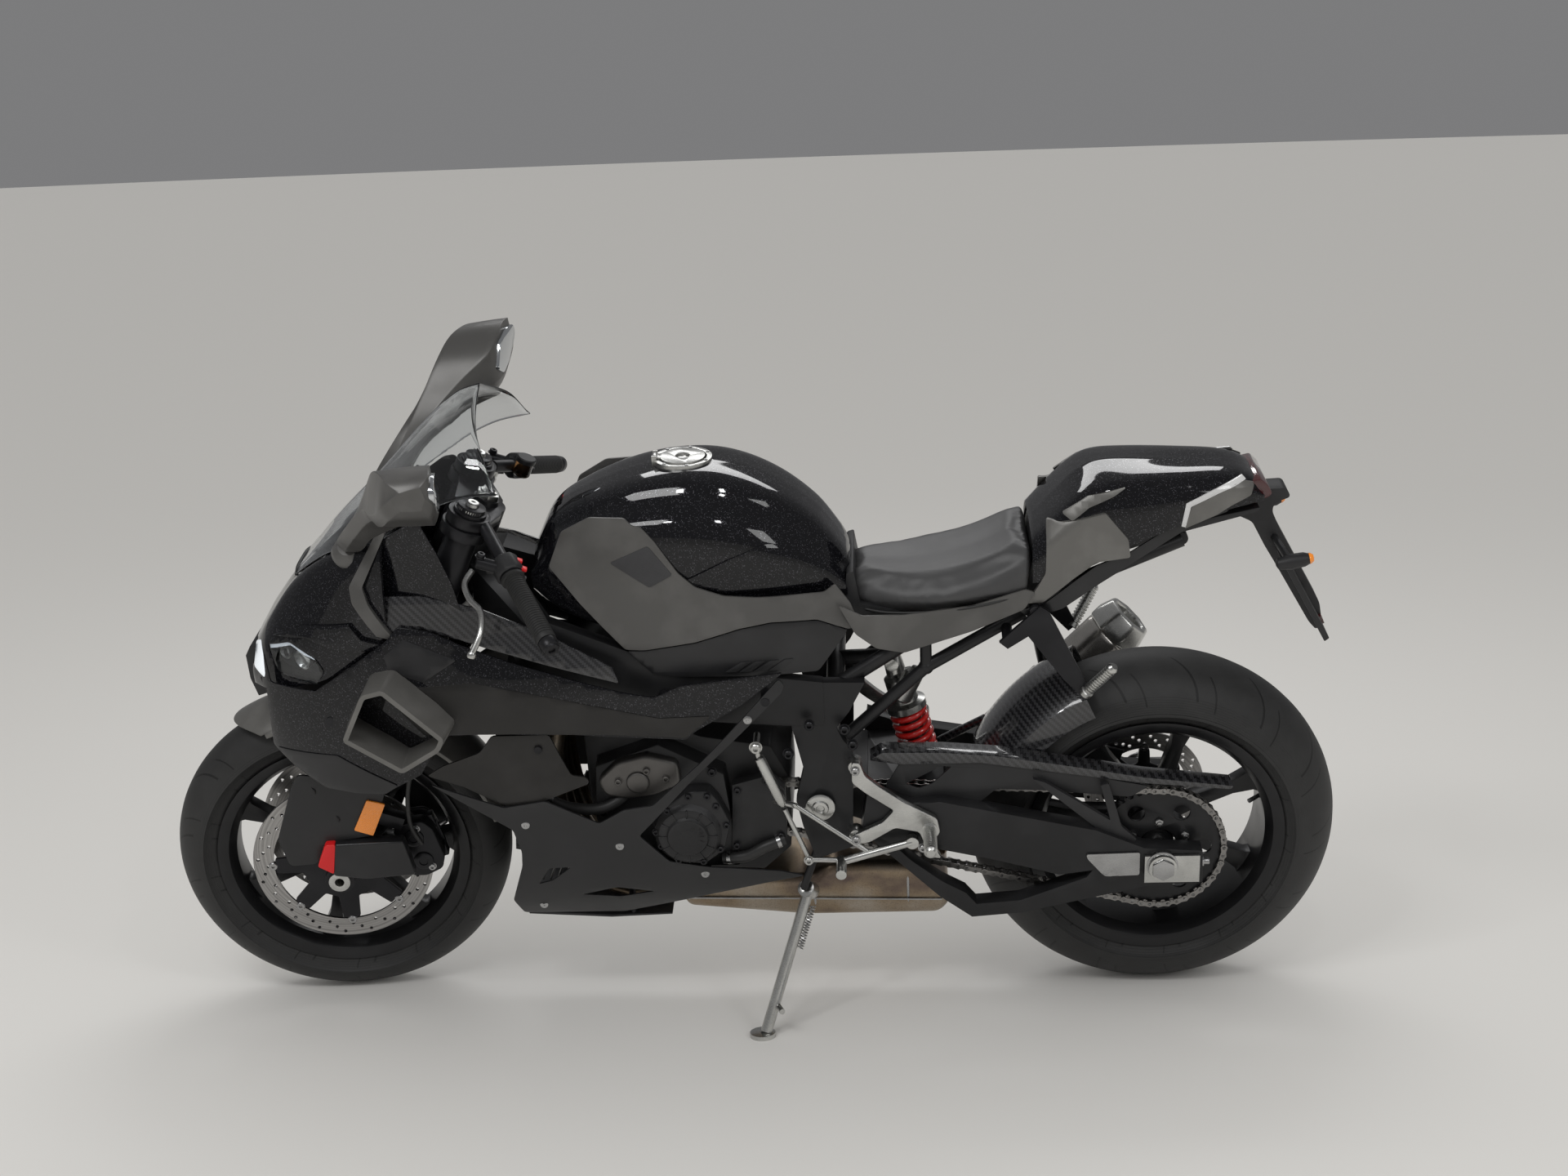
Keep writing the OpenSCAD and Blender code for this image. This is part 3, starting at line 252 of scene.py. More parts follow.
@dataclass(frozen=True)
class FlakePaint(Finish):
    """Lacquered paint with metal flakes."""

    flake: Colour = (0.10, 0.10, 0.112)
    flake_scale: float = 900.0

    def sockets(self, shader: Shader) -> dict[str, Value]:
        """Dark base, bright flakes and a clear coat. See Finish.sockets."""
        place = shader.place()
        spark = shader.make("ShaderNodeSeparateColor", {},
                            {0: shader.cells(place, self.flake_scale, "Color")})
        lit = shader.span(spark, 0.92, 1.0, 0.0, 1.0)
        cloud = shader.noise(place, 9.0, 2.0)
        orange_peel = shader.noise(place, 260.0, 2.0)
        return self.basic() | {
            "Base Color": shader.blend(lit, self.colour, self.flake),
            "Metallic": lit * 0.75,
            "Specular IOR Level": 0.0,
            "Coat IOR": 1.42,
            "Roughness": cloud * 0.06 + (self.roughness - 0.03),
            "Normal": shader.bump(orange_peel, 0.015, 0.0004),
        }


@dataclass(frozen=True)
class Moulded(Finish):
    """Moulded plastic or powder coat with a fine pebble grain."""

    grain_scale: float = 1400.0
    grain_depth: float = 0.16

    def sockets(self, shader: Shader) -> dict[str, Value]:
        """Pebble bump, with slight wear in patches. See Finish.sockets."""
        place = shader.place()
        pebble = shader.cells(place, self.grain_scale)
        wear = shader.span(shader.noise(place, 14.0, 5.0), 0.45, 0.75, 0.0, 1.0)
        lighter = tuple(min(1.0, c * 1.35 + 0.004) for c in self.colour)
        return self.basic() | {
            "Base Color": shader.blend(wear, self.colour, lighter),
            "Roughness": wear * 0.10 + (self.roughness - 0.04),
            "Normal": shader.bump(pebble, self.grain_depth, 0.0004),
        }


@dataclass(frozen=True)
class Weave(Finish):
    """Twill weave of fibre under lacquer."""

    tow: float = 0.0034
    # Lighter colour for the painted sheen on the tows.
    light: Colour = (0.034, 0.034, 0.037)

    def sockets(self, shader: Shader) -> dict[str, Value]:
        """Two sets of tows that pass over two and under two, with painted sheen: the warp tows and the crown of each
        tow are painted lighter. See Finish.sockets.
        """
        x, _, z = shader.axes(shader.place())
        across, up = x / self.tow, z / self.tow
        step = (across.floor() + up.floor()) % 4.0
        warp = step < 1.5
        along = warp * ((across % 1.0) - 0.5) + (1.0 - warp) * ((up % 1.0) - 0.5)
        crown = 1.0 - abs(along) * 1.6
        return self.basic() | {
            # Painted sheen: the warp tows and each tow's crown take the lighter colour.
            "Base Color": shader.blend(warp * 0.75 + crown * 0.25, self.colour, self.light),
            "Roughness": warp * 0.12 + self.roughness,
            "Normal": shader.bump(crown, 0.25, 0.0003),
        }


@dataclass(frozen=True)
class Brushed(Finish):
    """Metal with brush marks along the bike."""

    stretch: Point3 = (0.04, 1.0, 1.0)
    mark_scale: float = 1600.0

    def sockets(self, shader: Shader) -> dict[str, Value]:
        """Streaks in roughness and height, with faint stains. See Finish.sockets."""
        streak = shader.noise(shader.place(self.stretch), self.mark_scale, 2.0)
        stain = shader.noise(shader.place(), 22.0, 4.0)
        return self.basic() | {
            "Base Color": shader.blend(shader.span(stain, 0.35, 0.7, 0.0, 0.8), self.colour, self.shade(0.72)),
            "Roughness": streak * 0.22 + (self.roughness - 0.11),
            "Normal": shader.bump(streak, 0.12, 0.0002),
        }


@dataclass(frozen=True)
class Turned(Finish):
    """Metal ground in rings about an axle."""

    centre: Point3 = (0.0, 0.0, 0.0)
    tilt: Point3 = (0.0, 0.0, 0.0)

    def sockets(self, shader: Shader) -> dict[str, Value]:
        """Rings of fine scratches and a few darker bands. See Finish.sockets."""
        place = shader.place((1.0, 0.0, 1.0), self.tilt, self.centre)
        radius = shader.make("ShaderNodeVectorMath", {"operation": "LENGTH"}, {0: place}, "Value")
        ring, band = (shader.make("ShaderNodeTexNoise", {"noise_dimensions": "1D"},
                                  {"W": radius, "Scale": scale, "Detail": 2.0}, "Fac") for scale in (2600.0, 260.0))
        return self.basic() | {
            "Base Color": shader.blend(shader.span(band, 0.4, 0.7, 0.0, 1.0), self.colour, self.shade(0.66)),
            "Roughness": ring * 0.2 + (self.roughness - 0.08),
            "Normal": shader.bump(ring, 0.10, 0.0002),
        }


@dataclass(frozen=True)
class HeatTinted(Finish):
    """Bare steel coloured by heat."""

    straw: Colour = (0.30, 0.235, 0.165)
    plum: Colour = (0.14, 0.105, 0.095)

    def sockets(self, shader: Shader) -> dict[str, Value]:
        """Bands from steel through straw to plum. See Finish.sockets."""
        drift = shader.noise(shader.place((1.0, 0.6, 1.6)), 7.0, 4.0)
        speck = shader.noise(shader.place(), 420.0, 5.0)
        tint = shader.make("ShaderNodeValToRGB", {"stops": [
            (0.36, self.colour), (0.52, self.straw), (0.66, self.plum), (0.80, self.straw)]}, {0: drift}, "Color")
        return self.basic() | {
            "Base Color": shader.blend(shader.span(speck, 0.5, 0.8, 0.0, 0.5), tint, (0.10, 0.08, 0.07)),
            "Roughness": speck * 0.25 + (self.roughness - 0.1),
            "Normal": shader.bump(speck, 0.05, 0.0003),
        }


@dataclass(frozen=True)
class Rubber(Finish):
    """Rubber with a fine skin and a dusting of road dirt."""

    dust: Colour = (0.085, 0.082, 0.076)

    def sockets(self, shader: Shader) -> dict[str, Value]:
        """Mould skin bump and patchy dust. See Finish.sockets."""
        place = shader.place()
        skin = shader.noise(place, 1300.0, 5.0)
        patch = shader.span(shader.noise(place, 16.0, 6.0), 0.42, 0.8, 0.0, 0.7)
        return self.basic() | {
            "Base Color": shader.blend(patch, self.colour, self.dust),
            "Roughness": patch * 0.15 + (self.roughness - 0.05),
            "Normal": shader.bump(skin, 0.22, 0.0004),
        }


@dataclass(frozen=True)
class Tread(Finish):
    """Tyre rubber with slanted grooves and a ringed side wall, about an axle."""

    centre: Point3 = (0.0, 0.0, 0.0)
    tilt: Point3 = (0.0, 0.0, 0.0)
    pitches: int = 14
    width: float = 0.12
    outer: float = 0.3

    def sockets(self, shader: Shader) -> dict[str, Value]:
        """Grooves by angle and side offset, painted near black as painted shade, and rings by radius. See
        Finish.sockets.
        """
        along, across, up = shader.axes(shader.place((1.0, 1.0, 1.0), self.tilt, self.centre))
        angle = shader.make("ShaderNodeMath", {"operation": "ARCTAN2"}, {0: up, 1: along})
        side = abs(across) / self.width
        step = (angle * (self.pitches / math.tau) + side * 1.9 - side * side * 1.6 + (across > 0.0) * 0.5) % 1.0
        groove = (abs(step - 0.5) < 0.017) * (side > 0.10) * (side < 0.44)
        second = (abs(((step + 0.27) % 1.0) - 0.5) < 0.012) * (side > 0.26) * (side < 0.47)
        cut = groove.most(second)
        plane = shader.make("ShaderNodeCombineXYZ", {}, {0: along, 2: up})
        radius = shader.make("ShaderNodeVectorMath", {"operation": "LENGTH"}, {0: plane}, "Value")
        wall = (side > 0.475) + (radius < self.outer - 0.045)
        ring = wall.most(0.0) * (abs(((radius * 260.0) % 1.0) - 0.5) < 0.08)
        skin = shader.noise(shader.place(), 900.0, 5.0)
        scuff = shader.span(shader.noise(shader.place(), 30.0, 4.0), 0.4, 0.8, 0.0, 0.35)
        worn = shader.blend(scuff, self.colour, self.shade(2.0))
        return self.basic() | {
            # Painted shade: the grooves are painted near black.
            "Base Color": shader.blend(cut, worn, (0.004, 0.004, 0.004)),
            "Roughness": skin * 0.12 + (self.roughness - 0.06),
            "Normal": shader.bump(skin * 0.05 - cut + ring * 0.25, 0.8, 0.004),
        }


@dataclass(frozen=True)
class Finned(Finish):
    """Cooler core of thin fins between flat tubes."""

    def sockets(self, shader: Shader) -> dict[str, Value]:
        """Upright fins and level tubes, with the fin rows painted darker than the tubes as painted shade between the
        fins. See Finish.sockets.
        """
        _, across, up = shader.axes(shader.place())
        fin = ((across * 2500.0).sine() + 1.0) * 0.5
        tube = ((up / 0.009) % 1.0) < 0.25
        return self.basic() | {
            # Painted shade: the fin rows keep the dark colour and the tubes are lighter.
            "Base Color": shader.blend(tube, self.colour, (0.035, 0.035, 0.036)),
            "Roughness": tube * -0.12 + self.roughness,
            "Normal": shader.bump(fin * (1.0 - tube), 0.7, 0.0012),
        }


@dataclass(frozen=True)
class Hide(Finish):
    """Coated seat fabric with a fine leather grain."""

    def sockets(self, shader: Shader) -> dict[str, Value]:
        """Creased cells at two sizes. See Finish.sockets."""
        place = shader.place()
        fine = shader.cells(place, 900.0)
        broad = shader.cells(place, 320.0)
        worn = shader.span(shader.noise(place, 8.0, 4.0), 0.4, 0.75, 0.0, 1.0)
        return self.basic() | {
            "Base Color": shader.blend(worn, self.colour, self.shade(1.3)),
            "Roughness": 0.10 * worn + (self.roughness - 0.05),
            "Normal": shader.bump(fine * 0.7 + broad * 0.3, 0.22, 0.0005),
        }


@dataclass(frozen=True)
class Clear(Finish):
    """Clear sheet or lens."""

    ior: float = 1.49

    def sockets(self, shader: Shader) -> dict[str, Value]:
        """Light passes straight through, with faint smears. See Finish.sockets."""
        smear = shader.noise(shader.place((1.0, 1.0, 0.5)), 12.0, 4.0)
        return self.basic() | {"Transmission Weight": 1.0, "IOR": self.ior,
                               "Roughness": shader.span(smear, 0.45, 0.8, self.roughness, self.roughness + 0.04)}


@dataclass(frozen=True)
class Lit(Finish):
    """Lens over a weak lamp."""

    glow: float = 0.0

    def sockets(self, shader: Shader) -> dict[str, Value]:
        """Moulded flutes and a constant glow. See Finish.sockets."""
        x, _, z = shader.axes(shader.place())
        flute = (x * 1400.0).sine() * (z * 1400.0).sine()
        return self.basic() | {"Emission Color": self.colour, "Emission Strength": self.glow,
                               "Normal": shader.bump(flute, 0.25, 0.0006)}


class Finishes:
    """Every finish on the bike."""

    PAINT = FlakePaint("black_flake_paint", "gloss_black", (0.004, 0.004, 0.005), 0.20, coat=1.0)
    TANK = FlakePaint("tank_flake_paint", "tank_paint", (0.004, 0.004, 0.005), 0.20, coat=1.0)
    SATIN = Moulded("satin_titanium_grey", "satin_grey", (0.13, 0.127, 0.12), 0.38, 0.4, grain_depth=0.06)
    DARK_SATIN = Moulded("dark_satin_field", "satin_grey", (0.020, 0.019, 0.018), 0.36, 0.4, grain_depth=0.05)
    SATIN_COVER = Moulded("satin_tank_cover", "satin_grey", (0.085, 0.083, 0.080), 0.38, 0.4, grain_depth=0.06)
    PANEL = Moulded("dark_side_panel", "satin_grey", (0.012, 0.012, 0.013), 0.32, 0.1, grain_depth=0.05)
    MATTE = Moulded("matte_black_plastic", "matte_black", (0.012, 0.012, 0.013), 0.52)
    COARSE = Moulded("grained_grip_panel", "satin_grey", (0.03, 0.03, 0.032), 0.6, grain_scale=520.0,
                     grain_depth=0.6)
    CARBON = Weave("lacquered_weave", "carbon", (0.006, 0.006, 0.007), 0.24, 0.2, 1.0)
    FRAME = Moulded("black_cast_alloy", "frame_black", (0.014, 0.014, 0.015), 0.42, 0.35, grain_scale=900.0)
    ENGINE = Moulded("coated_engine_alloy", "engine_metal", (0.024, 0.024, 0.025), 0.44, 0.5, grain_scale=700.0,
                     grain_depth=0.3)
    ENGINE_GREY = Moulded("bare_engine_alloy", "engine_metal", (0.12, 0.115, 0.11), 0.46, 0.9, grain_scale=700.0,
                          grain_depth=0.3)
    # Near black for the disc in the silencer's outlet: painted shade in the pipe.
    OUTLET_SHADE = Moulded("cooler_black", "cooler_black", (0.012, 0.012, 0.012), 0.55, 0.3)
    FINS = Finned("cooler_fins", "cooler_black", (0.012, 0.012, 0.012), 0.5, 0.4)
    HOT = HeatTinted("heat_tinted_steel", "hot_steel", (0.40, 0.35, 0.29), 0.36, 1.0)
    SILENCER = Brushed("brushed_silencer", "silencer_steel", (0.50, 0.48, 0.45), 0.30, 1.0)
    ANODISED = Moulded("black_anodised", "small_black", (0.016, 0.016, 0.018), 0.36, 0.6, grain_depth=0.05)
    BRIGHT = Brushed("bright_alloy", "bright_metal", (0.62, 0.62, 0.60), 0.30, 1.0)
    STEEL = Brushed("screw_steel", "bright_metal", (0.45, 0.45, 0.45), 0.28, 1.0, mark_scale=900.0)
    SEAT = Hide("seat_cover", "seat_cover", (0.040, 0.040, 0.041), 0.46)
    TAIL_LENS = Lit("dark_red_lens", "tail_lens", (0.045, 0.004, 0.005), 0.10, coat=1.0)
    AMBER = Lit("amber_reflector", "tail_lens", (0.85, 0.26, 0.02), 0.14, coat=1.0)
    LAMP = Clear("lamp_lens", "lamp_lens", (0.92, 0.95, 0.98), 0.01, ior=1.5)
    LED = Lit("daylight_bar", "lamp_lens", (0.85, 0.90, 0.95), 0.12, coat=1.0, glow=0.3)
    LED_DIM = Lit("light_guide", "tail_lens", (0.55, 0.55, 0.55), 0.16, coat=1.0)
    SCREEN = Clear("clear_screen", "screen", (0.93, 0.95, 0.96), 0.005)
    GLASS = Finish("mirror_glass", "satin_grey", (0.62, 0.64, 0.66), 0.08, 1.0)
    DISPLAY = Finish("display_glass", "lamp_lens", (0.008, 0.009, 0.011), 0.08, coat=1.0)
    SPRING = Finish("red_spring", "shock_red", (0.50, 0.012, 0.010), 0.30, 0.0, 1.0)
    RED = Finish("red_plastic", "shock_red", (0.60, 0.010, 0.012), 0.34)
    CHAIN = Brushed("oiled_chain", "chain_steel", (0.30, 0.29, 0.28), 0.34, 1.0, mark_scale=500.0)
    GRIP = Rubber("grip_rubber", "grip_rubber", (0.012, 0.012, 0.012), 0.62, dust=(0.02, 0.02, 0.02))
    FLUID = Clear("smoked_reservoir", "reservoir", (0.30, 0.16, 0.07), 0.18)
    RIM = Moulded("satin_black_rim", "rim_black", (0.010, 0.010, 0.011), 0.34, 0.3, grain_depth=0.04)
    HOSE = Rubber("hose_rubber", "grip_rubber", (0.014, 0.014, 0.014), 0.5, dust=(0.02, 0.02, 0.02))
    FLOOR = Finish("pale_floor", "floor", (0.66, 0.65, 0.63), 0.6)


# Placing


@dataclass
class Stance:
    """Where the upright bike, in millimetres, stands in the frame, read from its joints."""

    rear_axle: Point2 = (728.17, 322.0)
    head: Point2 = (-452.0, 860.0)
    rake: float = 23.6
    bike: Matrix = field(init=False)
    steering: Matrix = field(init=False)

    def __post_init__(self) -> None:
        """Works out the two placing matrices."""
        joints = {j["name"]: j for j in frame["joints"]}
        rear = joints["rear_wheel_spin"]
        right = Vector(rear["axis"])
        back = Vector((1.0, 0.0, 0.0))
        up = back.cross(right)
        turn = Matrix((back, right, up)).transposed()
        origin = Vector(rear["pos_m"]) - turn @ Vector((self.rear_axle[0] * MM, 0.0, self.rear_axle[1] * MM))
        self.bike = Matrix.Translation(origin) @ turn.to_4x4() @ Matrix.Scale(MM, 4)
        front = Vector(joints["front_wheel_spin"]["axis"])
        steer = joints["steering"]
        axis = Vector(steer["axis"])
        angle = math.copysign(right.angle(front), right.cross(front).dot(axis))
        pivot = Matrix.Translation(Vector(steer["pos_m"]))
        self.steering = pivot @ Matrix.Rotation(angle, 4, axis) @ pivot.inverted() @ self.bike

    def of(self, body: Body) -> Matrix:
        """The matrix from upright bike millimetres for a piece on body."""
        return self.steering if body in (Body.STEERING, Body.FRONT_WHEEL) else self.bike

    def fork(self) -> Matrix:
        """From the steering head's own axes, z up the steering axis, to upright bike millimetres."""
        return Matrix.Translation((self.head[0], 0.0, self.head[1])) @ Matrix.Rotation(
            math.radians(self.rake), 4, "Y")


STANCE = Stance()


class Form:
    """A mesh in the making, in upright bike millimetres."""

    def __init__(self) -> None:
        """Starts empty."""
        self.bm = bmesh.new()

    @classmethod
    def outline(cls, points: Sequence[Point2], corner: float = 0.0) -> "Form":
        """A flat side view outline at y = 0.

        Args:
            points: x and z of each corner.
            corner: radius that rounds the corners.

        Returns:
            The form.
        """
        form = cls()
        corners = [form.bm.verts.new((x, 0.0, z)) for x, z in points]
        form.bm.faces.new(corners)
        if corner:
            bmesh.ops.bevel(form.bm, geom=corners, offset=corner, affect="VERTICES", segments=4, profile=0.5,
                            material=-1, clamp_overlap=True)
        return form

    @classmethod
    def grid(cls, along: int, around: int, surface: Callable[[float, float], Point3]) -> "Form":
        """A sheet over a surface.

        Args:
            along: cells in the first direction.
            around: cells in the second direction.
            surface: the point at two shares from 0 to 1.

        Returns:
            The form.
        """
        form = cls()
        bmesh.ops.create_grid(form.bm, x_segments=along, y_segments=around, size=0.5)
        for vert in form.bm.verts:
            vert.co = surface(vert.co.x + 0.5, vert.co.y + 0.5)
        return form

    @classmethod
    def box(cls, size: Point3, centre: Point3) -> "Form":
        """A box.

        Args:
            size: its length, width and height.
            centre: its middle.

        Returns:
            The form.
        """
        form = cls()
        place = Matrix.Translation(centre) @ Matrix.Diagonal((*size, 1.0))
        bmesh.ops.create_cube(form.bm, size=1.0, matrix=place)
        return form

    @classmethod
    def rod(cls, start: Point3, end: Point3, radius: float, sides: int = 24) -> "Form":
        """A round bar.

        Args:
            start: one end.
            end: the other end.
            radius: its radius.
            sides: faces around.

        Returns:
            The form.
        """
        form = cls()
        a, b = Vector(start), Vector(end)
        bmesh.ops.create_cone(form.bm, cap_ends=True, segments=sides, radius1=radius, radius2=radius,
                              depth=(b - a).length, matrix=aimed((a + b) / 2, b - a))
        return form

    @classmethod
    def turned(cls, profile: Sequence[Point2], start: Point3, end: Point3, sides: int = 64) -> "Form":
        """A turned piece about an axis.

        Args:
            profile: distance along the axis and radius of each point.
            start: where the axis starts.
            end: a point further along it.
            sides: faces around.

        Returns:
            The form.
        """
        form = cls()
        place = aimed(Vector(start), Vector(end) - Vector(start))
        verts = [form.bm.verts.new((radius, 0.0, distance)) for distance, radius in profile]
        edges = [form.bm.edges.new(pair) for pair in zip(verts, verts[1:])]
        bmesh.ops.spin(form.bm, geom=verts + edges, cent=(0, 0, 0), axis=(0, 0, 1), angle=math.tau, steps=sides,
                       use_merge=True)
        bmesh.ops.remove_doubles(form.bm, verts=form.bm.verts, dist=1e-4)
        return form.outwards().turn(place)

    @classmethod
    def tube(cls, path: Sequence[Point3], radius: float, sides: int = 12, steps: int = 8) -> "Form":
        """A smooth tube through points.

        Args:
            path: the points.
            radius: its radius.
            sides: faces around.
            steps: lengths between two points.

        Returns:
            The form.
        """
        form = cls()
        points = smooth([Vector(p) for p in path], steps)
        bmesh.ops.create_circle(form.bm, cap_ends=True, segments=sides, radius=radius,
                                matrix=aimed(points[0], points[1] - points[0]))
        ring = list(form.bm.edges)
        heading = (points[1] - points[0]).normalized()
        for i, point in enumerate(points[1:], 1):
            new = bmesh.ops.extrude_edge_only(form.bm, edges=ring)["geom"]
            verts = [g for g in new if isinstance(g, bmesh.types.BMVert)]
            ring = [g for g in new if isinstance(g, bmesh.types.BMEdge)]
            after = points[min(i + 1, len(points) - 1)] - points[i - 1]
            swing = heading.rotation_difference(after.normalized()).to_matrix().to_4x4()
            heading = after.normalized()
            bmesh.ops.transform(form.bm, verts=verts, matrix=Matrix.Translation(point) @ swing @ Matrix.Translation(
                -points[i - 1]))
        bmesh.ops.contextual_create(form.bm, geom=ring)
        return form.outwards()

    @classmethod
    def loft(cls, rings: Sequence[Sequence[Point3]], along: int, around: int) -> "Form":
        """A closed smooth body through rings of points.

        Args:
            rings: rings with the same number of points.
            along: lengths from the first ring to the last.
            around: faces around.

        Returns:
            The form.
        """
        count = len(rings[0])
        wide = [[Vector(p) for p in ring] for ring in rings]

        def surface(u: float, v: float) -> Vector:
            """The point at two shares of the body."""
            place = v * count
            k = int(place) % count
            line = []
            for ring in wide:
                near = [ring[(k + d) % count] for d in (-1, 0, 1, 2)]
                line.append(cubic(*near, place - int(place)))
            at = min(u * (len(line) - 1), len(line) - 1.000001)
            i = int(at)
            near = [line[max(0, min(len(line) - 1, i + d))] for d in (-1, 0, 1, 2)]
            return cubic(*near, at - i)

        return cls.grid(along, around, surface).closed()

    @classmethod
    def skin(cls, rows: Table, section: Callable[..., Table], along: int, around: int) -> "Form":
        """A sheet from side to side over the sections in a table.

        Args:
            rows: the table, with x in its first column.
            section: from x and the rest of a row, the share from the middle to the edge, half width and
                height of each point of the section.
            along: cells along the bike.
            around: cells from side to side.

        Returns:
            The form.
        """
        start, end = rows[0][0], rows[-1][0]

        def surface(u: float, v: float) -> Point3:
            """The point at two shares of the sheet."""
            x = start + (end - start) * u
            _, y, z = row_at(section(x, *row_at(rows, x)[1:]), abs(v - 0.5) * 2)
            return (x, math.copysign(y, v - 0.5), z)

        return cls.grid(along, around, surface)

    @classmethod
    def bolt(cls, at: Point3, out: Point3, radius: float) -> "Form":
        """The head of a socket screw.

        Args:
            at: where it sits.
            out: the way it faces.
            radius: its radius.

        Returns:
            The form.
        """
        profile = ((-1.0, 0.0), (-1.0, radius * 1.25), (0.8, radius * 1.25), (0.9, radius), (radius * 0.8, radius),
                   (radius * 0.95, radius * 0.84), (radius * 0.95, radius * 0.5), (radius * 0.4, radius * 0.46),
                   (radius * 0.4, 0.0))
        return cls.turned(profile, at, Vector(at) + Vector(out), 16)

    @classmethod
    def bolts(cls, points: Sequence[Point2], y: float, radius: float) -> "Form":
        """Socket screw heads at x and z on one side of the bike, facing out."""
        out = (0.0, math.copysign(1.0, y), 0.0)
        return cls().join(*(cls.bolt((x, y, z), out, radius) for x, z in points))

    @classmethod
    def of_node(cls, node: str) -> "Form":
        """A merged copy of a CAD node, with flat faces made whole.

        Args:
            node: the node's name.

        Returns:
            The form.
        """
        form = cls()
        form.bm.from_mesh(frame["nodes"][node].data)
        bmesh.ops.remove_doubles(form.bm, verts=form.bm.verts, dist=2e-6)
        bmesh.ops.transform(form.bm, matrix=STANCE.bike.inverted(), verts=form.bm.verts)
        bmesh.ops.dissolve_limit(form.bm, angle_limit=math.radians(0.6), verts=form.bm.verts, edges=form.bm.edges)
        return form

    def slices(self, step: float) -> "Form":
        """Cuts a flat outline into a lattice of cells.

        Args:
            step: the size of a cell.

        Returns:
            This form.
        """
        for normal, index in (((1, 0, 0), 0), ((0, 0, 1), 2)):
            low = min(v.co[index] for v in self.bm.verts)
            high = max(v.co[index] for v in self.bm.verts)
            count = max(1, round((high - low) / step))
            for k in range(1, count):
                at = Vector((0, 0, 0))
                at[index] = low + (high - low) * k / count
                geom = list(self.bm.verts) + list(self.bm.edges) + list(self.bm.faces)
                bmesh.ops.bisect_plane(self.bm, geom=geom, dist=1e-3, plane_co=at, plane_no=normal)
        return self

    def outwards(self) -> "Form":
        """Points the faces outwards."""
        bmesh.ops.recalc_face_normals(self.bm, faces=self.bm.faces)
        return self

    def closed(self) -> "Form":
        """Merges the seam of a sheet that meets itself and fills its ends.

        Returns:
            This form.
        """
        bmesh.ops.remove_doubles(self.bm, verts=self.bm.verts, dist=1e-3)
        bmesh.ops.holes_fill(self.bm, edges=self.bm.edges)
        return self.outwards()

    def grow(self) -> list[bmesh.types.BMVert]:
        """Extrudes every face and gives the new points, which still lie on the old ones."""
        made = bmesh.ops.extrude_face_region(self.bm, geom=list(self.bm.faces))["geom"]
        return [v for v in made if isinstance(v, bmesh.types.BMVert)]

    def move(self, mover: Mover) -> "Form":
        """Moves every point by a function."""
        for vert in self.bm.verts:
            vert.co = mover(vert.co)
        return self

    def turn(self, matrix: Matrix) -> "Form":
        """Moves the form by a matrix."""
        bmesh.ops.transform(self.bm, matrix=matrix, verts=self.bm.verts)
        return self

    def thick(self, depth: float, outward: Point3) -> "Form":
        """Gives a sheet its thickness, inwards.

        Args:
            depth: the thickness.
            outward: roughly the way the sheet faces.

        Returns:
            This form.
        """
        self.outwards()
        facing = sum((f.normal * f.calc_area() for f in self.bm.faces), Vector())
        if facing.dot(Vector(outward)) < 0:
            bmesh.ops.reverse_faces(self.bm, faces=self.bm.faces)
        self.bm.normal_update()
        shift = {tuple(v.co): v.normal * -depth for v in self.bm.verts}
        for vert in self.grow():
            vert.co += shift[tuple(vert.co)]
        return self.outwards()

    def sink(self, depth: float) -> "Form":
        """Gives a sheet on the left flank its wall, straight inwards."""
        bmesh.ops.translate(self.bm, verts=self.grow(), vec=(0.0, depth, 0.0))
        return self.outwards()

    def solid(self, name: str) -> bpy.types.Object:
        """A working object with this form's mesh.

        Args:
            name: the object's name.

        Returns:
            The object.
        """
        mesh = bpy.data.meshes.new(name)
        self.bm.to_mesh(mesh)
        thing = bpy.data.objects.new(name, mesh)
        bpy.context.scene.collection.objects.link(thing)
        return thing

    def cut(self, *tools: "Form") -> "Form":
        """Takes closed forms away from this closed one.

        Args:
            tools: the forms to take away.

        Returns:
            This form.
        """
        stock = self.solid("stock")
        cutters = [tool.solid("cutter") for tool in tools]
        for cutter in cutters:
            saw = stock.modifiers.new("saw", "BOOLEAN")
            saw.operation, saw.solver, saw.object = "DIFFERENCE", "EXACT", cutter
        bpy.context.view_layer.update()
        done = bpy.data.meshes.new_from_object(stock.evaluated_get(bpy.context.evaluated_depsgraph_get()))
        self.bm.clear()
        self.bm.from_mesh(done)
        for thing in (stock, *cutters):
            mesh = thing.data
            bpy.data.objects.remove(thing)
            bpy.data.meshes.remove(mesh)
        bpy.data.meshes.remove(done)
        return self

    def extrude(self, y0: float, y1: float) -> "Form":
        """Makes a flat outline into a plate.

        Args:
            y0: where one side lies.
            y1: where the other side lies.

        Returns:
            This form.
        """
        for vert in self.bm.verts:
            vert.co.y = y0
        for vert in self.grow():
            vert.co.y = y1
        return self.outwards()

    def ease(self, width: float, segments: int = 2, angle: float = 32.0) -> "Form":
        """Rounds the sharp edges.

        Args:
            width: width of the rounding.
            segments: faces across it.
            angle: edges sharper than this, in degrees, are rounded.

        Returns:
            This form.
        """
        edges = [e for e in self.bm.edges if len(e.link_faces) == 2 and e.calc_face_angle(0.0) > math.radians(angle)]
        if edges:
            bmesh.ops.bevel(self.bm, geom=edges, offset=width, offset_type="OFFSET", affect="EDGES",
                            segments=segments, profile=0.5, material=-1, clamp_overlap=True)
        return self

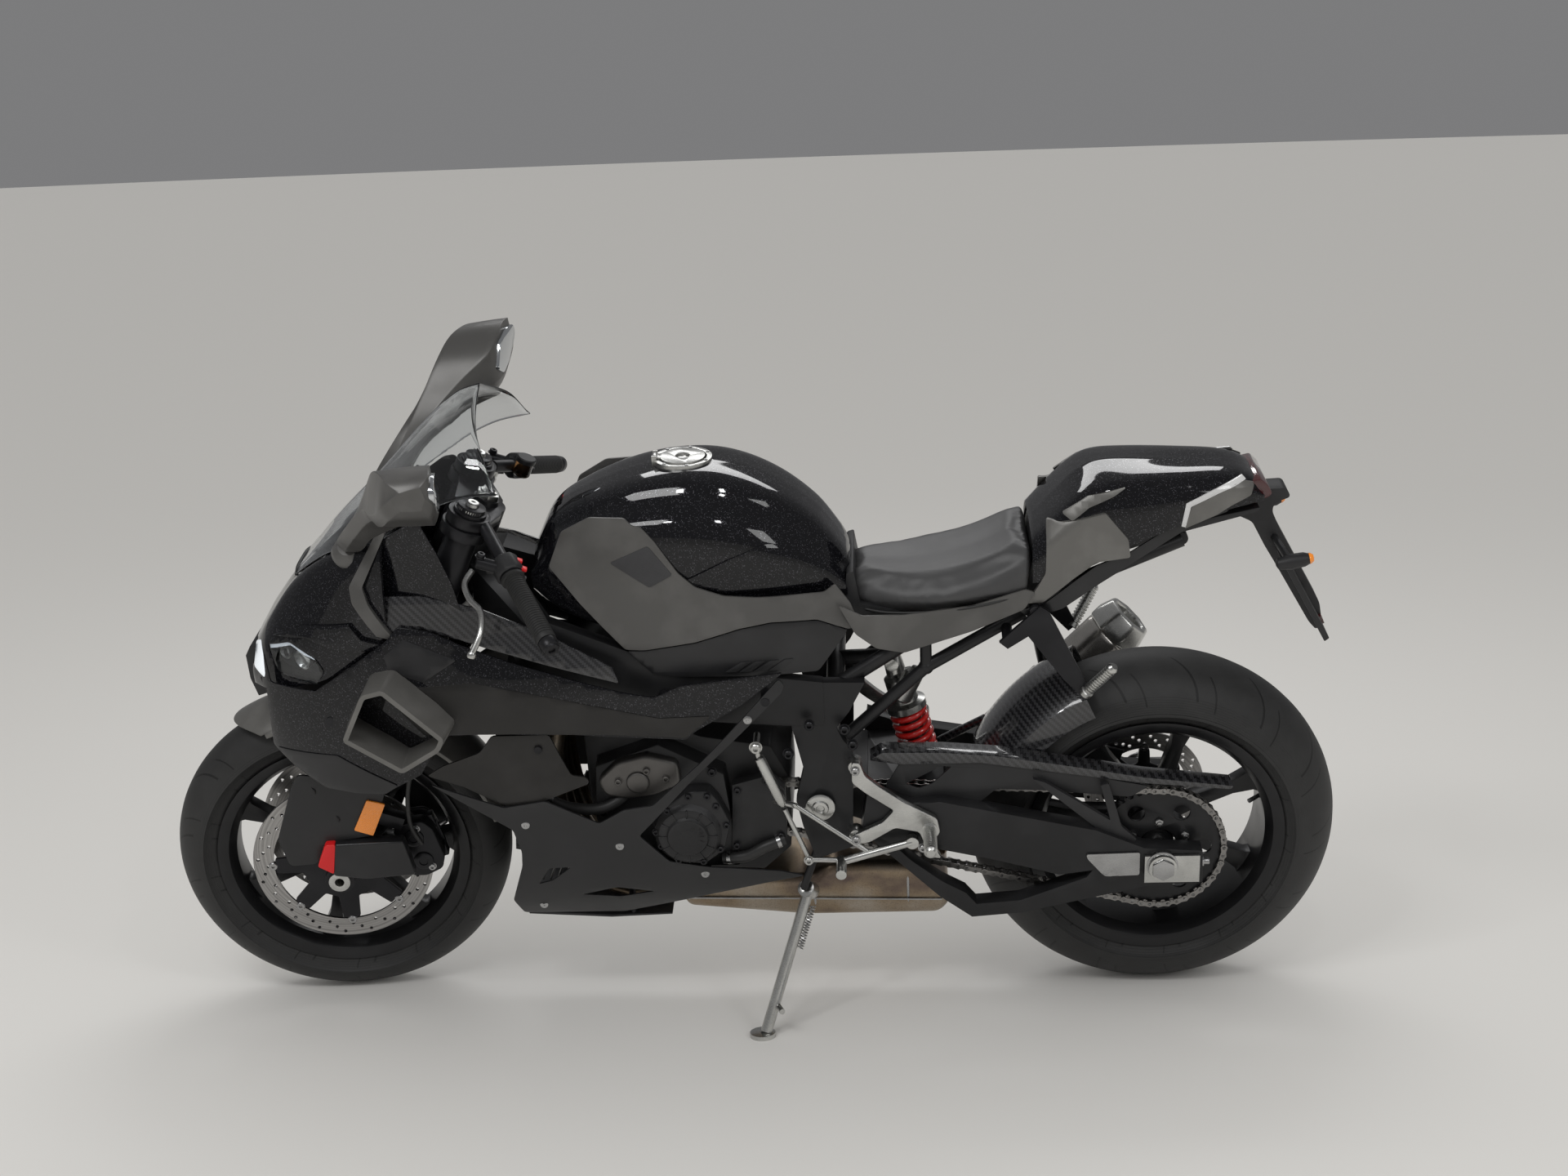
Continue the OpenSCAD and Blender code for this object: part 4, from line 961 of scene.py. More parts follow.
    def mirrored(self) -> "Form":
        """A copy on the other side of the bike."""
        other = Form()
        other.bm = self.bm.copy()
        bmesh.ops.scale(other.bm, vec=(1, -1, 1), verts=other.bm.verts)
        bmesh.ops.reverse_faces(other.bm, faces=other.bm.faces)
        return other

    def join(self, *others: "Form") -> "Form":
        """Adds other forms to this one."""
        for other in others:
            mesh = bpy.data.meshes.new("join")
            other.bm.to_mesh(mesh)
            self.bm.from_mesh(mesh)
            bpy.data.meshes.remove(mesh)
            other.bm.free()
        return self

    def both(self) -> "Form":
        """This form and its mirror image."""
        return self.join(self.mirrored())

    def piece(self, name: str, finish: Finish, *replaces: str, body: Body = Body.BIKE,
              crease: float = 34.0) -> bpy.types.Object:
        """Ends the form as a piece of the scene.

        Args:
            name: the piece's name.
            finish: its finish.
            replaces: CAD nodes it stands for.
            body: the body it rides on.
            crease: edges sharper than this angle in degrees stay crisp.

        Returns:
            The piece.
        """
        limit = math.radians(crease)
        for face in self.bm.faces:
            face.smooth = True
        for edge in self.bm.edges:
            edge.smooth = not (len(edge.link_faces) == 2 and edge.calc_face_angle(0.0) > limit)
        bmesh.ops.transform(self.bm, matrix=STANCE.of(body), verts=self.bm.verts)
        mesh = bpy.data.meshes.new(name)
        self.bm.to_mesh(mesh)
        self.bm.free()
        piece = bpy.data.objects.new(name, mesh)
        bpy.context.scene.collection.objects.link(piece)
        mesh.materials.append(finish.material())
        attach(piece, body.value)
        if replaces:
            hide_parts(*replaces)
        LOG.info("%s: %d faces", name, len(mesh.polygons))
        return piece


def aimed(at: Vector, way: Vector) -> Matrix:
    """A place at a point, with its z along a way."""
    return Matrix.Translation(at) @ way.to_track_quat("Z", "Y").to_matrix().to_4x4()


def polar(length: float, angle: float) -> Vector:
    """A flat vector of a length at an angle in radians."""
    return length * Vector((math.cos(angle), math.sin(angle)))


def ringed(centre: Point2, count: int, *corners: Point2) -> list[Point2]:
    """Corners that repeat evenly about a centre.

    Args:
        centre: the centre.
        count: how many times they repeat.
        corners: each one's share of a pitch and its radius.

    Returns:
        The points in order.
    """
    points = []
    for k in range(count):
        for share, radius in corners:
            angle = math.tau * (k + share) / count
            points.append((centre[0] + radius * math.cos(angle), centre[1] + radius * math.sin(angle)))
    return points


def helix(start: Vector, end: Vector, side: Vector, radius: float, turns: int, steps: int) -> list[Vector]:
    """Points along the wire of a coil spring.

    Args:
        start: where its axis starts.
        end: where its axis ends.
        side: the way from the axis to the first point.
        radius: the radius of the coil.
        turns: how often it goes round.
        steps: points in one turn.

    Returns:
        The points.
    """
    other = (end - start).normalized().cross(side)
    path = []
    for k in range(turns * steps + 1):
        angle = math.tau * k / steps
        spoke = math.cos(angle) * side + math.sin(angle) * other
        path.append(start.lerp(end, k / (turns * steps)) + radius * spoke)
    return path


def cubic(a: Vector, b: Vector, c: Vector, d: Vector, t: float) -> Vector:
    """The point at share t between b and c on a smooth line through four points."""
    return 0.5 * (2 * b + (c - a) * t + (2 * a - 5 * b + 4 * c - d) * t * t + (3 * b - a - 3 * c + d) * t * t * t)


def smooth(points: Sequence[Vector], steps: int) -> list[Vector]:
    """A smooth line through points.

    Args:
        points: the points to pass through.
        steps: lengths between two of them.

    Returns:
        The line's points.
    """
    line = []
    for i in range(len(points) - 1):
        near = [points[max(0, min(len(points) - 1, i + k))] for k in (-1, 0, 1, 2)]
        line += [cubic(*near, k / steps) for k in range(steps)]
    return line + [points[-1].copy()]


def row_at(rows: Table, key: float) -> list[float]:
    """Reads a table smoothly at a value of its first column.

    Args:
        rows: the table, sorted by its first column.
        key: the value to read at; values outside read the nearest end.

    Returns:
        A row of the table.
    """
    last = len(rows) - 1
    key = max(rows[0][0], min(rows[last][0], key))
    i = max([k for k in range(last) if rows[k][0] <= key] or [0])
    a, b = rows[i], rows[i + 1]
    span = b[0] - a[0]
    t = (key - a[0]) / span

    def slope(k: int, column: int) -> float:
        """How steeply a column rises at row k."""
        low, high = rows[max(0, k - 1)], rows[min(last, k + 1)]
        return (high[column] - low[column]) / (high[0] - low[0])

    return [(2 * t ** 3 - 3 * t * t + 1) * a[c] + (t ** 3 - 2 * t * t + t) * span * slope(i, c)
            + (3 * t * t - 2 * t ** 3) * b[c] + (t ** 3 - t * t) * span * slope(i + 1, c) for c in range(len(a))]


@dataclass(frozen=True)
class Carried:
    """CAD nodes that keep their shape: each gets eased edges and a finish.

    Attributes:
        finish: the finish.
        body: the body they ride on.
        nodes: their names.
        edge: width of the eased edges in millimetres.
    """

    finish: Finish
    body: Body
    nodes: tuple[str, ...]
    edge: float = 1.2

    def build(self) -> None:
        """Makes one piece for each node."""
        for node in self.nodes:
            form = Form.of_node(node)
            form.ease(self.edge)
            if self.body in (Body.STEERING, Body.FRONT_WHEEL):
                form.turn(STANCE.of(self.body).inverted() @ STANCE.bike)
            form.piece(node + "_dressed", self.finish, node, body=self.body)


CARRIED = (
    Carried(Finishes.FRAME, Body.BIKE, ("steering_head", "main_frame", "frame_bars", "subframe")),
    Carried(Finishes.ENGINE, Body.BIKE, ("engine_block", "engine_covers"), 3.0),
    Carried(Finishes.FINS, Body.BIKE, ("radiator",)),
    Carried(Finishes.HOT, Body.BIKE, ("exhaust_pipes",)),
    Carried(Finishes.MATTE, Body.BIKE, ("air_intake", "dash")),
    Carried(Finishes.CARBON, Body.BIKE, ("hugger",), 0.8),
    Carried(Finishes.ANODISED, Body.BIKE, ("fairing_stays", "rear_caliper")),
    Carried(Finishes.BRIGHT, Body.BIKE, ("filler_ring", "rear_axle", "foot_controls")),
    Carried(Finishes.ANODISED, Body.STEERING, ("yokes", "fork_tubes", "fork_lowers", "handlebars")),
    Carried(Finishes.BRIGHT, Body.STEERING, ("front_axle",)),
    Carried(Finishes.RIM, Body.FRONT_WHEEL, ("front_rim",), 1.6),
    Carried(Finishes.RIM, Body.REAR_WHEEL, ("rear_rim",), 1.6),
    Carried(Finishes.BRIGHT, Body.STAND, ("side_stand",)),
    Carried(Finishes.BRIGHT, Body.CAP, ("fuel_lid",)),
)


# Bodywork


@dataclass(frozen=True)
class Panel:
    """A body panel: a side outline laid on a curved flank, on both sides of the bike.

    Attributes:
        name: the piece's name.
        finish: its finish.
        points: x and z of its corners.
        flank: half width of the flank at x and z.
        inset: how far it lies inside the flank.
        depth: its thickness.
        corner: radius of its corners.
        edge: width of its eased edges.
        replaces: CAD nodes it stands for.
        step: size of its cells.
        holes: outlines cut out of it.
    """

    name: str
    finish: Finish
    points: Sequence[Point2]
    flank: Callable[[float, float], float]
    inset: float = 0.0
    depth: float = 4.0
    corner: float = 4.0
    edge: float = 1.2
    replaces: tuple[str, ...] = ()
    step: float = 14.0
    holes: tuple[Sequence[Point2], ...] = ()

    def form(self) -> Form:
        """The panel on the left side.

        Returns:
            The form.
        """
        form = Form.outline(self.points, self.corner).slices(self.step)
        form.move(lambda p: Vector((p.x, self.inset - self.flank(p.x, p.z), p.z))).sink(self.depth)
        if self.holes:
            form.cut(*(Form.outline(hole, 5.0).extrude(-400.0, -20.0) for hole in self.holes))
        return form.ease(self.edge)

    def build(self) -> bpy.types.Object:
        """Makes the piece for both sides."""
        return self.form().both().piece(self.name, self.finish, *self.replaces)


@dataclass
class Flanks:
    """Half widths of the bodywork at a place along the bike and a height."""

    heights: tuple[float, ...] = (190, 260, 340, 430, 520, 610, 700, 790, 870)
    fairing: Table = (
        (-830, 60, 70, 80, 95, 110, 118, 112, 95, 70), (-760, 90, 110, 130, 150, 165, 172, 166, 150, 120),
        (-660, 105, 140, 170, 190, 207, 214, 206, 188, 160), (-540, 108, 155, 190, 210, 228, 238, 226, 204, 180),
        (-400, 106, 158, 194, 212, 228, 242, 230, 200, 176), (-240, 102, 154, 188, 206, 218, 232, 222, 192, 168),
        (-60, 98, 150, 182, 198, 206, 214, 208, 186, 164), (130, 94, 144, 176, 190, 194, 196, 192, 178, 158))
    tank_cover: Table = (
        (-300, 132, 146), (-200, 150, 160), (-80, 160, 166), (60, 154, 164), (160, 130, 146), (236, 110, 126))
    tail: Table = (
        (508, 118, 832, 902), (545, 121, 838, 942), (580, 120, 850, 976), (612, 118, 864, 994), (660, 114, 888, 1000),
        (770, 100, 928, 1000), (840, 86, 944, 997), (872, 78, 948, 986), (890, 70, 950, 968))
    nose: Table = (
        (-824, 738, 62, 720, 90, 668), (-790, 790, 88, 774, 130, 676), (-735, 854, 96, 846, 164, 694),
        (-670, 884, 116, 902, 180, 716), (-610, 880, 140, 934, 184, 750), (-560, 866, 156, 950, 186, 778))

    def side(self, x: float, z: float) -> float:
        """Half width of the fairing."""
        widths = row_at(self.fairing, x)[1:]
        return row_at(list(zip(self.heights, widths)), z)[1]

    def cover(self, x: float, z: float) -> float:
        """Half width of the covers beside the tank."""
        _, upper, lower = row_at(self.tank_cover, x)
        return row_at(((668, lower + 2), (740, lower), (840, upper), (985, upper - 10)), z)[1]

    def rear(self, x: float, z: float) -> float:
        """Half width of the tail below its crown."""
        _, half, low, top = row_at(self.tail, x)
        share = max(-0.6, min(1.0, (z - low) / (top - low)))
        return half * (1.0 - 0.03 * share * share) if share < 0.7 else half * (0.985 - 0.62 * (share - 0.7))

    def beak(self, x: float, z: float) -> float:
        """Half width of the nose."""
        _, _, mid, mid_z, edge, edge_z = row_at(self.nose, x)
        share = max(-0.4, min(1.3, (z - edge_z) / (mid_z - edge_z)))
        return edge + (mid - edge) * share + 14.0 * max(0.0, 4.0 * share * (1.0 - share))


FLANKS = Flanks()


@dataclass
class Nose:
    """Nose cowl, lamps, screen, brow and the fins beside them."""

    screen: Table = (
        (-735, 862, 40, 862, 62, 858), (-665, 940, 72, 932, 108, 912), (-580, 1022, 102, 998, 148, 952),
        (-500, 1104, 122, 1064, 170, 1000), (-440, 1154, 136, 1100, 186, 1034), (-400, 1168, 142, 1106, 198, 1044))
    shoulders: Table = ((-620, 140), (-560, 154), (-500, 166), (-430, 176))
    sweep: float = 52.0
    widest: float = 206.0
    lens: Outline = ((-784, 752), (-762, 714), (-692, 703), (-676, 728), (-690, 748), (-738, 768))
    brow: Outline = (
        (-772, 772), (-708, 802), (-624, 816), (-604, 790), (-558, 778), (-585, 770), (-659, 772), (-705, 784))
    fin: Outline = (
        (-545, 790), (-576, 799), (-614, 852), (-618, 878), (-562, 972), (-549, 968), (-594, 880), (-585, 852))
    wall: float = 6.0
    light_bar: Outline = ((-780, 752), (-738, 766), (-694, 748), (-694, 743), (-738, 760), (-778, 746))
    cowl: Outline = (
        (-606, 930), (-560, 952), (-510, 984), (-490, 984), (-466, 932), (-446, 879), (-432, 812), (-490, 818),
        (-535, 824), (-600, 846))
    tips: Outline = ((-820, 734), (-803, 748), (-788, 720), (-794, 696), (-820, 702))

    def shell(self) -> Form:
        """The nose cowl as a thick shell.

        Returns:
            The form.
        """
        form = Form.skin(FLANKS.nose, lambda x, top, mid, mid_z, edge, edge_z: (
            (0.0, 0.0, top), (0.30, mid * 0.52, top + (mid_z - top) * 0.30), (0.52, mid, mid_z),
            (0.76, (mid + edge) / 2 + 14, (mid_z + edge_z) / 2), (1.0, edge, edge_z)), 44, 64)
        form.thick(self.wall, (-0.6, 0.0, 0.8))
        lens = Form.outline(self.lens, 6.0).extrude(-260.0, -60.0)
        return form.cut(lens, lens.mirrored()).ease(1.6)

    def lamps(self) -> None:
        """Lens, dark bowl, projector and light bar on each side."""
        Panel("lamp_lens", Finishes.LAMP, self.lens, FLANKS.beak, 0.5, 3.0, 6.0, 0.8, replaces=("headlamps",)).build()
        Panel("lamp_bowl", Finishes.MATTE, self.lens, FLANKS.beak, 38.0, 3.0, 6.0, 0.8).build()
        ring = Form.turned(((0, 13), (4, 17), (12, 17), (13, 14), (6, 11), (3, 0)), (-716, -128, 732),
                           (-736, -158, 728), 40)
        ring.join(Form.turned(((0, 9), (3, 12), (9, 12), (10, 9), (5, 7), (3, 0)), (-752, -104, 734),
                              (-770, -132, 731), 32))
        ring.both().piece("lamp_projectors", Finishes.BRIGHT)
        Panel("daylight_bars", Finishes.LED, self.light_bar, FLANKS.beak, 6.0, 6.0, 0.0, 0.8).build()

    def glazing(self) -> Form:
        """The screen, swept back at its lower corners.

        Returns:
            The form.
        """
        start, end = self.screen[0][0], self.screen[-1][0]
        form = Form.skin(self.screen, lambda x, top, mid, mid_z, edge, edge_z: (
            (0.0, 0.0, top), (0.55, mid, mid_z), (1.0, edge, edge_z)), 40, 56)
        for vert in form.bm.verts:
            share = (vert.co.x - start) / (end - start)
            vert.co.x += self.sweep * share ** 4 * (abs(vert.co.y) / self.widest) ** 3
        return form.thick(3.5, (-0.6, 0.0, 0.8)).ease(0.9)

    def shoulder(self, x: float, z: float) -> float:
        """Half width of the cowl below the screen's edge."""
        return row_at(self.shoulders, x)[1]

    def build(self) -> None:
        """Builds the nose."""
        self.shell().piece("nose_shell", Finishes.PAINT, "nose_cowl")
        self.lamps()
        self.glazing().piece("screen_sheet", Finishes.SCREEN, "windscreen")
        Panel("cowl_sides", Finishes.PAINT, self.cowl, self.shoulder, 0.0, 4.0, 6.0, 1.8).build()
        Panel("nose_daylights", Finishes.LED, self.tips, FLANKS.beak, -2.0, 4.0, 3.0, 1.0, step=8.0).build()
        Panel("nose_brow", Finishes.PAINT, self.brow, FLANKS.beak, -7.0, 9.0, 3.0, 2.5).build()
        Panel("nose_fin", Finishes.SATIN_COVER, self.fin, FLANKS.beak, -9.0, 12.0, 3.0, 2.0).build()
        edge = [(-734, -60, 856), (-737, -36, 860), (-738, 0, 860), (-737, 36, 860), (-734, 60, 856)]
        Form.tube(edge, 3.0).piece("screen_seal", Finishes.HOSE)


@dataclass
class SideBodywork:
    """Fairing sides, winglets, belly pan and inner panels."""

    upper: Outline = (
        (-786, 752), (-776, 700), (-692, 700), (-560, 792), (-541, 814), (-488, 806), (-437, 782), (-359, 753),
        (-254, 720), (-175, 696), (-122, 684), (-80, 701), (92, 714), (20, 661), (-56, 620), (-73, 605), (-259, 628),
        (-394, 637), (-476, 635), (-520, 560), (-596, 514), (-694, 516), (-746, 546), (-788, 580))
    satin: Outline = (
        (-579, 716), (-500, 718), (-422, 724), (-300, 697), (-187, 668), (-116, 648), (-30, 646), (-73, 609),
        (-211, 626), (-335, 635), (-470, 638), (-505, 636), (-542, 676))
    wedge: Outline = ((-565, 769), (-531, 796), (-444, 760), (-502, 726), (-558, 743))
    under: Outline = ((-780, 579), (-664, 588), (-563, 536), (-587, 518), (-640, 515), (-692, 519), (-744, 550))
    loop: Outline = ((-626, 662), (-586, 745), (-550, 754), (-458, 662), (-468, 640), (-534, 600))
    loop_middle: Point2 = (-560.0, 668.0)
    loop_flare: Point2 = (1.12, 0.92)
    loop_reach: Point2 = (-306.0, -198.0)
    loop_rim: float = 8.0
    middle: Outline = (
        (-513, 552), (-483, 572), (-418, 597), (-396, 628), (-300, 626), (-271, 541), (-246, 535), (-242, 522),
        (-316, 493), (-346, 479), (-392, 485), (-453, 527))
    belly: Outline = (
        (-508, 536), (-391, 482), (-320, 492), (-233, 440), (-189, 466), (-139, 472), (-51, 556), (84, 702),
        (93, 690), (88, 677), (-52, 538), (-81, 507), (-167, 410), (-119, 350), (-49, 333), (70, 318), (112, 304),
        (49, 290), (-52, 262), (-124, 238), (-214, 206), (-392, 214), (-403, 262), (-374, 353), (-371, 385),
        (-381, 434))
    vent: Outline = ((-281, 272), (-217, 290), (-152, 275), (-214, 262))
    slot: Outline = ((-352, 306), (-328, 346), (-290, 346), (-326, 314))
    inner: Outline = (
        (-602, 798), (-602, 858), (-500, 858), (-400, 832), (-290, 784), (-190, 732), (-180, 706), (-290, 738),
        (-400, 772), (-500, 806))
    screws: Outline = ((-358, 444), (-202, 390), (-60, 318), (-352, 244), (30, 632), (-540, 796))

    def winglet(self) -> Form:
        """A loop of blade on the left: a ring at the tip, drawn back to the flank.

        Returns:
            The form.
        """
        form = Form.outline(self.loop, 7.0)
        face = form.bm.faces[:][0]
        bmesh.ops.inset_region(form.bm, faces=[face], thickness=self.loop_rim, use_boundary=True)
        bmesh.ops.delete(form.bm, geom=[f for f in form.bm.faces if len(f.verts) > 4], context="FACES")
        (x, z), (wide, tall), (tip, root) = self.loop_middle, self.loop_flare, self.loop_reach
        for vert in form.bm.verts:
            vert.co.y = tip
        for vert in form.grow():
            vert.co = Vector((x + (vert.co.x - x) * wide, root, z + (vert.co.z - z) * tall))
        return form.outwards().ease(2.2, 3)

    def fasteners(self) -> Form:
        """Round head screws on the left flank.

        Returns:
            The form.
        """
        form = Form()
        for x, z in self.screws:
            y = -FLANKS.side(x, z) + 4
            form.join(Form.turned(((0, 0), (0, 7.5), (1.6, 7.2), (2.6, 5.2), (2.6, 2.6), (1.2, 2.2), (1.2, 0)),
                                  (x, y + 0.6, z), (x, y - 10, z + 1.5), 20))
        return form

    def build(self) -> None:
        """Builds the sides."""
        side = FLANKS.side
        Panel("fairing_upper", Finishes.PAINT, self.upper, side, replaces=("side_fairings",), edge=2.0).build()
        Panel("fairing_satin_field", Finishes.DARK_SATIN, self.satin, side, -1.6, 3.0, 5.0, 1.2).build()
        Panel("fairing_wedge", Finishes.PANEL, self.wedge, side, -1.8, 3.0, 3.0, 1.4).build()
        Panel("fairing_under_lip", Finishes.PANEL, self.under, side, -2.0, 4.0, 4.0, 1.6).build()
        self.winglet().both().piece("winglet_loops", Finishes.SATIN, "winglets")
        Panel("fairing_middle", Finishes.DARK_SATIN, self.middle, side, 9.0, 4.0, 6.0, 1.6,
              replaces=("mid_fairings",)).build()
        Panel("belly_sides", Finishes.MATTE, self.belly, side, 4.0, 4.0, 5.0, 1.6, replaces=("belly_pan",),
              holes=(self.vent, self.slot)).build()
        floor = Form.outline(((-388, 200), (-240, 190), (-130, 194), (-130, 198), (-240, 195), (-388, 206)))
        floor.extrude(-104.0, 104.0).ease(1.5).piece("belly_floor", Finishes.MATTE)
        fins = Form()
        for k in range(4):
            x = -346 + 13 * k
            fins.join(Form.outline(((x, 310), (x + 14, 342), (x + 17, 342), (x + 3, 310))).extrude(-168.0, -142.0))
        fins.both().piece("belly_louvres", Finishes.MATTE)
        Panel("cockpit_weave", Finishes.CARBON, self.inner, side, 14.0, 4.0, 4.0, 1.2,
              replaces=("cockpit_panels",)).build()
        self.fasteners().both().piece("panel_screws", Finishes.STEEL)


@dataclass
class Tank:
    """Fuel tank with its knee panels, side covers, grip patches and lower covers."""

    rows: Table = (
        (-328, 884, 40, 84, 862, 90, 822), (-296, 944, 56, 106, 892, 108, 800), (-240, 980, 74, 128, 920, 124, 776),
        (-160, 1010, 86, 144, 934, 138, 760), (-80, 1024, 90, 150, 934, 142, 752), (0, 1020, 88, 148, 924, 138, 752),
        (80, 990, 80, 136, 900, 124, 756), (150, 938, 70, 112, 868, 106, 764), (192, 884, 60, 96, 836, 94, 772),
        (206, 858, 54, 86, 822, 88, 774))
    filler: Point3 = (-70.0, 0.0, 992.0)
    well: float = 50.0
    cover: Outline = (
        (-291, 888), (-266, 950), (-217, 977), (-158, 977), (-146, 963), (-133, 963), (-110, 936), (-75, 882),
        (-48, 857), (-2, 840), (54, 834), (163, 830), (181, 842), (206, 806), (218, 772), (204, 762), (150, 786),
        (73, 790), (21, 782), (-53, 760), (-138, 747), (-170, 748), (-242, 826))
    grip: Outline = ((-187, 900), (-122, 930), (-84, 880), (-123, 858))
    lower: Outline = (
        (-168, 744), (-138, 744), (-53, 757), (21, 779), (73, 787), (150, 783), (200, 760), (150, 694), (-74, 697),
        (-126, 701))
    vents: Outline = ((-6, 704), (22, 722), (38, 722), (14, 704))
    knee: Outline = (
        (-66, 866), (5, 900), (63, 921), (120, 914), (150, 890), (172, 856), (160, 836), (-4, 842), (-46, 856))

    def shell(self) -> Form:
        """The closed tank with its filler well.

        Returns:
            The form.
        """
        form = Form.skin(self.rows, lambda x, top, crown, shoulder, high, skirt, low: (
            (0.0, 0.0, top), (0.20, crown * 0.7, top - 3), (0.30, crown, top - 11), (0.36, crown + 9, top - 22),
            (0.60, shoulder, high), (0.84, skirt, low + 26), (0.92, skirt - 10, low + 6), (0.96, skirt - 34, low),
            (1.0, 0.0, low)), 72, 72).closed()
        x, y, z = self.filler
        form.cut(Form.rod((x, y, z), (x, y, z + 80), self.well, 64))
        return form.ease(2.0)

    def half(self, x: float, z: float) -> float:
        """Half width of the tank at a height on its side."""
        _, top, crown, shoulder, high, skirt, low = row_at(self.rows, x)
        return row_at(((low + 6, skirt - 10), (low + 26, skirt), (high, shoulder), (top - 22, crown + 9)), z)[1]

    def build(self) -> None:
        """Builds the tank and its covers."""
        self.shell().piece("tank_shell", Finishes.TANK, "fuel_tank")
        cover = FLANKS.cover
        Panel("tank_side_covers", Finishes.SATIN_COVER, self.cover, cover, 0.0, 4.0, 5.0, 1.8,
              replaces=("tank_sides",)).build()
        Panel("tank_grip_patches", Finishes.COARSE, self.grip, cover, -1.2, 3.0, 4.0, 0.8).build()
        Panel("under_tank_covers", Finishes.PANEL, self.lower, cover, 3.0, 4.0, 5.0, 2.0).build()
        Panel("tank_knee_panels", Finishes.TANK, self.knee, self.half, -2.0, 5.0, 8.0, 2.6, step=9.0).build()
        for k in range(4):
            vent = tuple((x + 24 * k, z) for x, z in self.vents)
            Panel(f"under_tank_vent_{k + 1}", Finishes.MATTE, vent, cover, 1.2, 4.0, 2.0, 1.2).build()
        x, y, z = self.filler
        bolts = Form()
        ring = ringed((x, y), 7, (0.5, 45.2))
        for px, py in ring[:3] + ring[4:]:
            bolts.join(Form.turned(((0, 0), (0, 3.0), (1.6, 2.8), (1.6, 1.4), (0.8, 0)), (px, py, z + 35.8),
                                   (px, py, z + 40), 12))
        bolts.piece("filler_screws", Finishes.STEEL)


